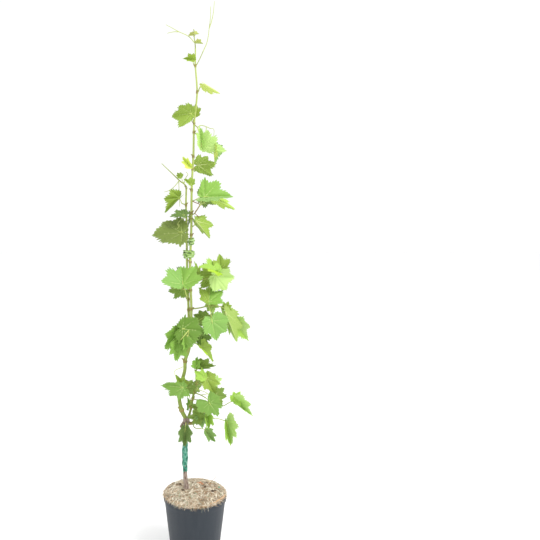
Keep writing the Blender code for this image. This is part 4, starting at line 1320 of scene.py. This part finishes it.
def vein_bars(shape, leaf, seed, settings, veins, slot):
    """Veins as thin four-cornered bars that run in the blade and stand out of both its faces."""
    paths, widths = veins
    number, steps = paths.shape[:2]
    centre, normals = blade_and_normals(leaf, paths[..., 0], paths[..., 1], seed, settings)
    along = unit(np.gradient(centre, axis=1))
    side = unit(np.cross(normals, along))
    scale = settings.vein_width * min(1.0, leaf.length / FULL_GROWN)
    wide = (0.5 * widths * scale)[..., None]
    high = 0.5 * settings.thickness * (0.7 + 1.1 * widths)[..., None]
    corners = (
        centre + side * wide,
        centre + normals * high,
        centre - side * wide,
        centre - normals * high * 1.3,
    )
    ring = np.stack(corners, 2).reshape(number, steps * 4, 3)
    points = np.concatenate((ring, centre[:, :1], centre[:, -1:]), 1)
    near = np.arange(4)
    after = (near + 1) % 4
    last = (steps - 1) * 4
    fans = np.vstack(
        (
            np.stack((np.full(4, steps * 4), after, near), 1),
            np.stack((np.full(4, steps * 4 + 1), last + near, last + after), 1),
        )
    )
    starts = np.arange(number)[:, None, None] * (steps * 4 + 2)
    quads = (grid_faces(steps, 4, wrap_columns=True)[:, ::-1] + starts).reshape(-1, 4)
    shape.add(points, quads, (fans + starts).reshape(-1, 3), slot)


def stalk_rows(start, leaf):
    """Rows of a leaf's stalk from its stem to a little way into the blade's midrib."""
    seat = np.array((leaf.right, leaf.back, leaf.up), float)
    run = seat - start
    middle = start + run * 0.5 + np.array((0, 0, 0.08 * np.linalg.norm(run)))
    inner = on_blade(leaf, np.array((0.06, 0.14)), np.zeros(2))
    radius = STALK_RADIUS * min(1.1, 0.75 + leaf.length / 200)
    widths = radius * np.array((1.25, 0.9, 1.05, 0.85, 0.45))
    return np.column_stack((np.vstack((start, middle, seat, inner)), widths))


def tier_of(stem):
    """Name of the tier of the plant that a stem's foot stands in."""
    return next(name for name, least in reversed(TIERS) if stem[0][2] >= least)


def masses_of(tier):
    """Names of the masses whose stem's foot stands in this tier."""
    return [name for name, (stem, _, _) in MASSES.items() if tier_of(stem) == tier]


class GRAPEVINE_OT_pot(Operator):
    """Turn the moulded plastic pot, with its lip and the hollow under its foot"""

    bl_idname = "grapevine.pot"
    bl_label = "Pot"

    def execute(self, context):
        settings = context.scene.grapevine_pot
        neck = -LIP_HEIGHT
        foot = -RIM_HEIGHT
        profile = (
            (0, foot + 2.0),
            (FOOT_RADIUS - 9, foot + 2.0),
            (FOOT_RADIUS - 7.5, foot + 0.4),
            (FOOT_RADIUS - 6.8, foot),
            (FOOT_RADIUS - 1.6, foot),
            (FOOT_RADIUS - 0.5, foot + 0.5),
            (FOOT_RADIUS + 0.15, foot + 1.6),
            *self.wall(foot + 1.6, neck - 1.4),
            (NECK_RADIUS + 0.3, neck - 0.5),
            (RIM_RADIUS - 1.0, neck + 0.1),
            (RIM_RADIUS - 0.3, neck + 0.5),
            (RIM_RADIUS, neck + 1.3),
            (RIM_RADIUS, -1.3),
            (RIM_RADIUS - 0.25, -0.45),
            (RIM_RADIUS - 0.9, 0),
            (RIM_RADIUS - WALL, -0.2),
            (RIM_RADIUS - WALL - 0.4, neck + 2),
            (FOOT_RADIUS - WALL, foot + 4.0),
            (0, foot + 4.0),
        )
        shape = Shape()
        turned(shape, profile, settings.steps)
        looks = [self.plastic(settings)]
        place("pot_shell", shape, looks, ["pot"], 35)
        return {"FINISHED"}

    def wall(self, low, high):
        """Points of the tapering wall, which bows out by a fraction of a millimetre."""
        share = np.linspace(0, 1, 22)
        radius = FOOT_RADIUS + 0.15 + (NECK_RADIUS - FOOT_RADIUS - 0.15) * share
        bow = 0.35 * np.sin(math.pi * share)
        return list(zip(radius + bow, low + (high - low) * share))[1:]

    def plastic(self, settings):
        """Satin plastic with faint lighter upright streaks, partly dust and partly painted sheen, with specks
        of dust, scuffs and fine pits.
        """
        look = new_look("pot_plastic", settings.shell, 0.9, (0.42, 0.60), 0.10)
        tree = look.node_tree
        streaks = noise(tree, 14.0, (1.0, 1.0, 9.0), 5.0)
        specks = noise(tree, 2.4, (1.0, 1.0, 1.0), 2.0, 0.7)
        # Painted sheen, partly dust: upright streaks lightened a little toward the dust colour.
        sheen_and_dust_streak_tone = mixed(settings.shell, settings.dust_and_sheen, 0.10)
        sheen_and_dust_streaks = ramp(tree, streaks, ((0.35, settings.shell), (0.72, sheen_and_dust_streak_tone)))
        dots = ramp(tree, specks, ((0.70, (0, 0, 0)), (0.76, (1, 1, 1))))
        mix = add_node(
            tree,
            "ShaderNodeMix",
            {"Factor": dots, "A": sheen_and_dust_streaks, "B": (*settings.dust_and_sheen, 1.0)},
            data_type="RGBA",
        )
        paint(look, mix.outputs["Result"])
        return look


class GRAPEVINE_OT_filling(Operator):
    """Heap the pot's filling and strew it with fibres, straws and crumbs"""

    bl_idname = "grapevine.filling"
    bl_label = "Filling"

    def execute(self, context):
        settings = context.scene.grapevine_pot
        shape = Shape()
        self.dome(shape)
        rng = np.random.default_rng(SEED)
        self.fibres(shape, rng, settings)
        place("filling_fibres", shape, self.looks(settings), ["soil"], 40)
        return {"FINISHED"}

    def dome(self, shape):
        """The heaped ground, closed by the pot's inner shape below it."""
        steps = 132
        angle = np.arange(steps) * FULL_TURN / steps
        inner = RIM_RADIUS - WALL - 0.9
        low = np.array(((FOOT_RADIUS - WALL, -RIM_HEIGHT + 5), (NECK_RADIUS - WALL - 0.4, -15.0)))
        radius = np.concatenate((low[:, 0], (inner, inner), np.linspace(inner + 1.4, 2.0, 40)))
        radius = radius[:, None] * np.ones(steps)
        x, y = radius * np.cos(angle), radius * np.sin(angle)
        height = ground(x, y)
        height[:2] = low[:, 1:]
        height[2] = -12.0
        height[3] = 0.3
        rings = np.stack((x, y, height), -1)
        poles = [(0, 0, -RIM_HEIGHT + 5), (0, 0, float(ground(np.array(0.0), np.array(0.0))))]
        close(shape, rings, poles, 0)

    def fibres(self, shape, rng, settings):
        """Fine fibres all over, wide straws, fibres that hang over the rim, and crumbs."""
        number = settings.strands
        middle = strewn(rng, number, 0, 79)
        longest = settings.strand_length
        reach = longest * rng.beta(2, 3, number) + 4
        tones = dealt(rng, number, FINE_SHARES)
        width = rng.uniform(0.22, 0.55, number)
        lift = rng.uniform(0.0, 1.3, number)
        strands(shape, rng, middle, reach, width, 0.8, lift, tones)
        number = settings.strands // 14
        tones = dealt(rng, number, STRAW_SHARES)
        middle = strewn(rng, number, 0, 74)
        reach = rng.uniform(10, 30, number)
        width = rng.uniform(0.8, 1.7, number)
        lift = rng.uniform(0.4, 1.8, number)
        strands(shape, rng, middle, reach, width, 0.3, lift, tones)
        number = settings.strands // 12
        middle = strewn(rng, number, 72, 79.5)
        reach = rng.uniform(5, 16, number)
        tones = dealt(rng, number, RIM_SHARES)
        width = rng.uniform(0.25, 0.6, number)
        lift = rng.uniform(0.2, 1.6, number)
        strands(shape, rng, middle, reach, width, 0.8, lift, tones)
        number = settings.chips
        middle = strewn(rng, number, 0, 78)
        tones = dealt(rng, number, CRUMB_SHARES)
        crumbs(shape, rng, middle, rng.uniform(0.7, 2.6, number) ** 1.1, tones)
        for line, radius, slot in LONG_STRAWS:
            path = smooth_path(line, 6)
            tube(shape, np.column_stack((path, np.full(len(path), radius))), 6, slot=slot)
        spots = np.array([spot for spot, _, _ in CHIPS], float)
        sizes = np.array([size for _, size, _ in CHIPS])
        crumbs(shape, rng, spots, sizes, np.array([slot for _, _, slot in CHIPS]), 0.42)

    def looks(self, settings):
        """Ground, six tones of fibres, and the crumbs of wax and of reddish bark."""
        earth = new_look("filling_ground", settings.filling, 2.2, (0.85, 1.0), 1.2, specular=0.2)
        tree = earth.node_tree
        low = mixed(settings.filling, (0, 0, 0), 0.65)
        high = mixed(settings.filling, (1, 1, 1), 0.18)
        stops = ((0.36, low), (0.5, settings.filling), (0.64, high))
        paint(earth, ramp(tree, noise(tree, 3.5, detail=6.0), stops))
        found = [earth]
        for name, tone in FIBRE_TONES.items():
            found.append(new_look("fibre_" + name, tone, 1.5, (0.75, 0.95), 0.3, specular=0.25))
        return found


class GRAPEVINE_OT_trunk(Operator):
    """Grow the trunk with its strips of old bark, its knotty head and the dry stub"""

    bl_idname = "grapevine.trunk"
    bl_label = "Trunk"

    def execute(self, context):
        settings = context.scene.grapevine_wood
        shape = Shape()
        tube(shape, spaced(TRUNK, 1.3), 48, self.strips(settings, 3.2))
        tube(shape, spaced(STUB, 1.2), 24, self.strips(settings, 3.0))
        place("trunk_bark", shape, [self.bark(settings)], ["trunk"], 60)
        return {"FINISHED"}

    def strips(self, settings, size):
        """Relief of bark: waves eight times as long as wide, creased where they cross zero."""

        def of(angles, rows):
            ring = np.stack(np.broadcast_arrays(np.cos(angles), np.sin(angles)), -1) * rows[:, 3:4, None]
            spot = np.concatenate((ring, np.broadcast_to(rows[:, None, 2:3], (*angles.shape, 1)) / 8), -1)
            coarse = 1 - 2.2 * np.sqrt(np.abs(waves(spot, size * 2.4, SEED + 2)))
            return settings.bark_depth * (coarse + 0.45 * waves(spot, size * 0.8, SEED + 3))

        return of

    def bark(self, settings):
        """Grey brown bark in upright streaks, dark in the gaps."""
        look = new_look("trunk_bark", settings.bark, 0.8, (0.75, 0.95), 0.35, (1.0, 1.0, 7.0), 0.3)
        tree = look.node_tree
        streaks = noise(tree, 2.6, (1.0, 1.0, 9.0), 5.0, 0.65)
        light = mixed(settings.bark, (1, 1, 1), 0.18)
        stops = ((0.36, settings.bark_gaps), (0.48, settings.bark), (0.66, light))
        paint(look, ramp(tree, streaks, stops))
        return look


class GRAPEVINE_OT_canes(Operator):
    """Grow the two canes, the shoot on the right and the low spur, with their nodes and buds"""

    bl_idname = "grapevine.canes"
    bl_label = "Canes"

    def execute(self, context):
        settings = context.scene.grapevine_wood
        skin, node = self.skin(settings), self.node(settings)
        limbs = {
            "main_cane": (MAIN_CANE, MAIN_NODES),
            "second_cane": (SECOND_CANE, SECOND_NODES),
            "right_shoot": (RIGHT_SHOOT, SHOOT_NODES),
            "low_spur": (LOW_SPUR, SPUR_NODES),
        }
        for name, (rows, nodes) in limbs.items():
            shape = Shape()
            cane(shape, rows, nodes, settings)
            place(name + "_bark", shape, [skin, node], [name], 60)
        return {"FINISHED"}

    def skin(self, settings):
        """Skin that ripens from green above to brown below, streaked along its length."""
        look = new_look("cane_skin", settings.cane, 0.7, (0.45, 0.65), 0.12, (1.0, 1.0, 12.0), 0.4)
        tree = look.node_tree
        where = tree.nodes.new("ShaderNodeTexCoord").outputs["Object"]
        height = add_node(tree, "ShaderNodeSeparateXYZ", {"Vector": where}).outputs["Z"]
        streaks = noise(tree, 1.4, (1.0, 1.0, 14.0), 4.0)
        shifted = add_node(tree, "ShaderNodeMath", {0: streaks, 1: 0.35, 2: height}, operation="MULTIPLY_ADD")
        brown = mixed(settings.ripe_cane, settings.bark_gaps, 0.15)
        stops = ((0.42, brown), (0.56, settings.ripe_cane), (0.90, settings.cane))
        paint(look, ramp(tree, shifted.outputs["Value"], stops))
        return look

    def node(self, settings):
        """Brown skin with patches of the cane's green."""
        look = new_look("cane_node", settings.node, 0.6, (0.6, 0.8), 0.15, (1.0, 1.0, 5.0), 0.3)
        tree = look.node_tree
        light = mixed(settings.node, settings.cane, 0.6)
        paint(look, ramp(tree, noise(tree, 1.6, (1.0, 1.0, 4.0)), ((0.40, settings.node), (0.62, light))))
        return look


class GRAPEVINE_OT_graft_wax(Operator):
    """Wrap the graft in its sleeve of wax, lumpy, creased and ragged at both ends"""

    bl_idname = "grapevine.graft_wax"
    bl_label = "Graft Wax"

    def execute(self, context):
        """Rings about the trunk's middle line, up the outside and down again inside it.

        The outside is the trunk's radius and a swelling body, with waves for lumps, less a crease
        that winds up round it; seeded waves make both ends ragged.
        """
        settings = context.scene.grapevine_wood
        steps, rows = 56, 90
        trunk = spaced(TRUNK, 1.0)
        angle = np.arange(steps) * FULL_TURN / steps
        share = np.concatenate((np.linspace(0, 1, rows - 22), np.linspace(1, 0, 24)[1:-1]))
        inside = np.concatenate((np.zeros(rows - 22, bool), np.ones(22, bool)))
        edge = np.stack((np.cos(angle), np.sin(angle)), -1)
        low = WAX_HEIGHTS[0] + 5 + 6 * waves(edge * 6, 7, SEED + 4)
        high = WAX_HEIGHTS[1] - 4 + 5 * waves(edge * 6, 7, SEED + 5)
        height = low + (high - low) * share[:, None]
        line = [np.interp(height, trunk[:, 2], trunk[:, k]) for k in (0, 1, 3)]
        x, y, radius = line
        spot = np.stack((6 * np.cos(angle) + 0 * x, 6 * np.sin(angle) + 0 * x, height / 1.6), -1)
        swirl = np.sin(height / 5.5 + 2 * angle + 2.0 * waves(spot, 22, SEED + 6))
        crease = 0.55 * (1 - np.abs(swirl)) ** 2
        lumps = 1.3 * waves(spot, 9, SEED + 7) + 0.35 * waves(spot, 4, SEED + 8)
        body = WAX_THICKNESS * (0.75 + 0.35 * np.sin(height / 14.0 + 0.8))
        swell = np.clip(np.minimum(share, 1 - share) / 0.035, 0, 1)[:, None] ** 0.5
        outer = radius + 0.2 + swell * (body + lumps - crease)
        reach = np.where(inside[:, None], radius - 0.8, outer)
        points = np.stack((x + reach * np.cos(angle), y + reach * np.sin(angle), height), -1)
        shape = Shape()
        shape.add(points, grid_faces(rows, steps, wrap_rows=True, wrap_columns=True)[:, ::-1])
        place("graft_wax_sleeve", shape, [wax_look(settings)], ["graft_wax"], 60)
        return {"FINISHED"}


def wax_look(settings):
    """Waxy skin, darker in patches of painted shade that stand for the shade in its folds, and lighter in
    other patches.
    """
    look = new_look("graft_wax", settings.wax, 1.6, (0.30, 0.50), 0.25)
    tree = look.node_tree
    # Painted shade: patches darkened nearly to black, for the shade in the wax's folds.
    dark = mixed(settings.wax, (0, 0.02, 0.02), 0.80)
    light = mixed(settings.wax, (0.6, 0.9, 0.75), 0.30)
    stops = ((0.38, dark), (0.50, settings.wax), (0.66, light))
    paint(look, ramp(tree, noise(tree, 5.0, (1.0, 1.0, 1.6), 5.0), stops))
    return look


class GRAPEVINE_OT_ties(Operator):
    """Wind the green ribbon that ties the canes and the looser band above it"""

    bl_idname = "grapevine.ties"
    bl_label = "Ties"

    def execute(self, context):
        settings = context.scene.grapevine_wood
        look = self.ribbon(settings)
        self.wind("tie_ribbon_wraps", "tie_ribbon", TIE_CENTRE, TIE_HALF_WIDTHS, TIE_WRAPS, look)
        self.wind("tie_band_wraps", "tie_band", BAND_CENTRE, (BAND_RADIUS, BAND_RADIUS), BAND_WRAPS, look)
        return {"FINISHED"}

    def wind(self, name, node, centre, half_widths, wraps, look):
        """Loops of ribbon, each a little off the last, twisted and wider in some places."""
        shape = Shape()
        for k, (up, out, lean, wide, twist) in enumerate(wraps):
            middle = (centre[0], centre[1], centre[2] + up)
            angle, path = oval(middle, [half + out for half in half_widths], lean)
            width = wide * (1 + 0.22 * np.sin(2 * angle + k) + 0.10 * np.sin(5 * angle + 2 * k))
            turn = twist * np.sin(angle + 1.7 * k) + 0.25 * np.sin(3 * angle + k)
            strip(shape, path, width, turn, 0.75)
        place(name, shape, [look], [node], 50)

    def ribbon(self, settings):
        """Soft ribbon with a fine weave of ribs, darker patches of painted shade that stand for the shade in
        its folds, and lighter patches of painted highlight.
        """
        look = new_look("tie_ribbon", settings.ribbon, 1.1, (0.45, 0.65), 0.2, (3.0, 3.0, 0.6))
        tree = look.node_tree
        # Painted shade: patches darkened nearly to deep green, for the shade in the ribbon's folds.
        dark = mixed(settings.ribbon, (0.02, 0.07, 0.02), 0.85)
        # The last stop is a painted highlight, lightened toward white.
        stops = ((0.40, dark), (0.50, settings.ribbon), (0.64, mixed(settings.ribbon, (1, 1, 1), 0.25)))
        paint(look, ramp(tree, noise(tree, 5.0, (1.6, 1.6, 0.7), 4.0), stops))
        return look


class GRAPEVINE_OT_twigs(Operator):
    """Grow the stems of the leaf masses, the stalks of their leaves and the tendrils"""

    bl_idname = "grapevine.twigs"
    bl_label = "Twigs"

    def execute(self, context):
        settings = context.scene.grapevine_leaf
        looks = [
            new_look("leaf_stem", settings.stem, 0.7, (0.5, 0.7), 0.12, (1.0, 1.0, 5.0), 0.4),
            new_look("leaf_stalk", settings.stalk, 0.6, (0.45, 0.65), 0.08, (1.0, 1.0, 4.0), 0.4),
            new_look("tendril", settings.tendril, 0.5, (0.5, 0.7), 0.06, (1.0, 1.0, 4.0), 0.4),
            new_look("dry_twig", settings.dry_twig, 0.8, (0.7, 0.9), 0.15, (1.0, 1.0, 4.0), 0.3),
        ]
        for tier, _ in TIERS:
            shape = Shape()
            names = masses_of(tier)
            for name in names:
                self.mass(shape, *MASSES[name])
            for level, first, last, slot, line in FINE_TWIGS:
                if level == tier:
                    path = smooth_path(line, 8)
                    radius = np.linspace(first, last, len(path))
                    tube(shape, np.column_stack((path, radius)), 8, slot=slot)
            place("twigs_" + tier, shape, looks, names, 60)
        return {"FINISHED"}

    def mass(self, shape, stem, rows, tendrils):
        """The stem of one mass, its leaves' stalks and its tendrils."""
        tube(shape, smooth_path(stem, 8), 12, slot=0)
        for leaf in (Leaf(*row) for row in rows):
            start = np.array(stem[leaf.joint][:3], float)
            tube(shape, smooth_path(stalk_rows(start, leaf), 7), 9, slot=1)
        for line in tendrils:
            path = smooth_path(line, 9)
            share = np.linspace(0, 1, len(path))
            tube(shape, np.column_stack((path, 1.05 - 0.45 * share)), 8, slot=2)


class GRAPEVINE_OT_leaves(Operator):
    """Grow the leaves: lobed and toothed blades with their veins, dealt out in eighteen tones"""

    bl_idname = "grapevine.leaves"
    bl_label = "Leaves"

    def execute(self, context):
        settings = context.scene.grapevine_leaf
        for tier, _ in TIERS:
            names = masses_of(tier)
            leaves = [Leaf(*row) for name in names for row in MASSES[name][1]]
            tones = sorted({tone for leaf in leaves for tone in leaf.tones.split("/")})
            shape = Shape()
            for leaf in leaves:
                seed = SEED + int(1000 * leaf.up + leaf.right * 7 + leaf.clock)
                left, right = (3 * tones.index(tone) for tone in (leaf.tones.split("/") * 2)[:2])
                main, side = vein_paths(leaf)
                blade(shape, leaf, seed, settings, ((right, right + 1), (left, left + 1)))
                vein_bars(shape, leaf, seed, settings, main, left + 2)
                if leaf.length > SIDE_VEINS_FROM:
                    vein_bars(shape, leaf, seed, settings, side, left + 2)
            looks = [look for tone in tones for look in self.looks(tone, settings)]
            place("leaves_" + tier, shape, looks, names, 60)
        return {"FINISHED"}

    def looks(self, tone, settings):
        """Upper face, underside and veins of one tone, made once."""
        names = [f"leaf_{tone}_{side}" for side in ("upper", "under", "vein")]
        if names[0] in bpy.data.materials:
            return [bpy.data.materials[name] for name in names]
        base = getattr(settings, tone)
        return [
            new_look(names[0], base, 1.8, (0.48, 0.66), 0.13, specular=0.3),
            new_look(names[1], mixed(base, settings.under, 0.38), 1.6, (0.65, 0.85), 0.12, specular=0.2),
            new_look(names[2], mixed(base, settings.vein, 0.8), 0.8, (0.5, 0.7), 0.05, specular=0.4),
        ]


class GRAPEVINE_OT_stage(Operator):
    """Set the pale floor, the soft studio light and the camera round the plant"""

    bl_idname = "grapevine.stage"
    bl_label = "Stage"

    def execute(self, context):
        settings = context.scene.grapevine_stage
        self.floor()
        self.sky(settings.sky)
        self.lamp("key_light", settings.key, KEY_SIZE, KEY_PLACE)
        self.lamp("fill_light", settings.fill, FILL_SIZE, FILL_PLACE)
        self.camera(settings.lens)
        context.scene.view_settings.view_transform = "Standard"
        return {"FINISHED"}

    def floor(self):
        """A wide square under the pot."""
        mesh = bpy.data.meshes.new("floor")
        turns = ((-1, -1), (1, -1), (1, 1), (-1, 1))
        corners = [(FLOOR_REACH * x, FLOOR_REACH * y, 0) for x, y in turns]
        mesh.from_pydata(corners, [], [(0, 1, 2, 3)])
        mesh.materials.append(new_look("floor_paint", FLOOR_TONE, 8.0, (0.75, 0.85), 0.0))
        floor = bpy.data.objects.new("floor", mesh)
        bpy.context.scene.collection.objects.link(floor)

    def sky(self, strength):
        """White light from all round."""
        world = bpy.data.worlds.new("studio")
        world.use_nodes = True
        background = world.node_tree.nodes["Background"]
        background.inputs["Color"].default_value = (1, 1, 1, 1)
        background.inputs["Strength"].default_value = strength
        bpy.context.scene.world = world

    def lamp(self, name, power, size, spot):
        """A soft square light that looks at the plant's middle."""
        light = bpy.data.lights.new(name, "AREA")
        light.energy = power
        light.size = size
        obj = bpy.data.objects.new(name, light)
        obj.location = spot
        aim = Vector(LIT_POINT) - Vector(spot)
        obj.rotation_euler = aim.to_track_quat("-Z", "Y").to_euler()
        bpy.context.scene.collection.objects.link(obj)

    def camera(self, lens):
        """The camera at the photograph's place, with its frame shifted aside."""
        camera = bpy.data.cameras.new("photo_camera")
        camera.sensor_width = SENSOR_WIDTH
        camera.lens = lens
        camera.shift_x = CAMERA_SHIFT
        obj = bpy.data.objects.new("photo_camera", camera)
        obj.location = CAMERA_PLACE
        obj.rotation_euler = (math.radians(90 - CAMERA_DIP), 0, 0)
        bpy.context.scene.collection.objects.link(obj)
        bpy.context.scene.camera = obj


OPERATORS = (
    GRAPEVINE_OT_pot,
    GRAPEVINE_OT_filling,
    GRAPEVINE_OT_trunk,
    GRAPEVINE_OT_canes,
    GRAPEVINE_OT_graft_wax,
    GRAPEVINE_OT_ties,
    GRAPEVINE_OT_twigs,
    GRAPEVINE_OT_leaves,
    GRAPEVINE_OT_stage,
)


class GRAPEVINE_PT_build(Panel):
    """Lists the pieces of the potted grapevine"""

    bl_idname = "GRAPEVINE_PT_build"
    bl_label = "Potted Grapevine"
    bl_space_type = "VIEW_3D"
    bl_region_type = "UI"
    bl_category = "Grapevine"

    def draw(self, context):
        for name in SETTINGS:
            settings = getattr(context.scene, name)
            box = self.layout.box()
            for key in settings.__annotations__:
                box.prop(settings, key)
        for operator in OPERATORS:
            self.layout.operator(operator.bl_idname)


CLASSES = (*SETTINGS.values(), *OPERATORS, GRAPEVINE_PT_build)


def register():
    """Adds the classes, and the settings to the scene."""
    for made in CLASSES:
        bpy.utils.register_class(made)
    for name, group in SETTINGS.items():
        setattr(bpy.types.Scene, name, PointerProperty(type=group))


def unregister():
    """Takes the settings and the classes away again."""
    for name in SETTINGS:
        delattr(bpy.types.Scene, name)
    for made in reversed(CLASSES):
        bpy.utils.unregister_class(made)


def main():
    register()
    for operator in OPERATORS:
        group, name = operator.bl_idname.split(".")
        getattr(getattr(bpy.ops, group), name)()
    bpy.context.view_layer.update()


if __name__ == "__main__":
    main()
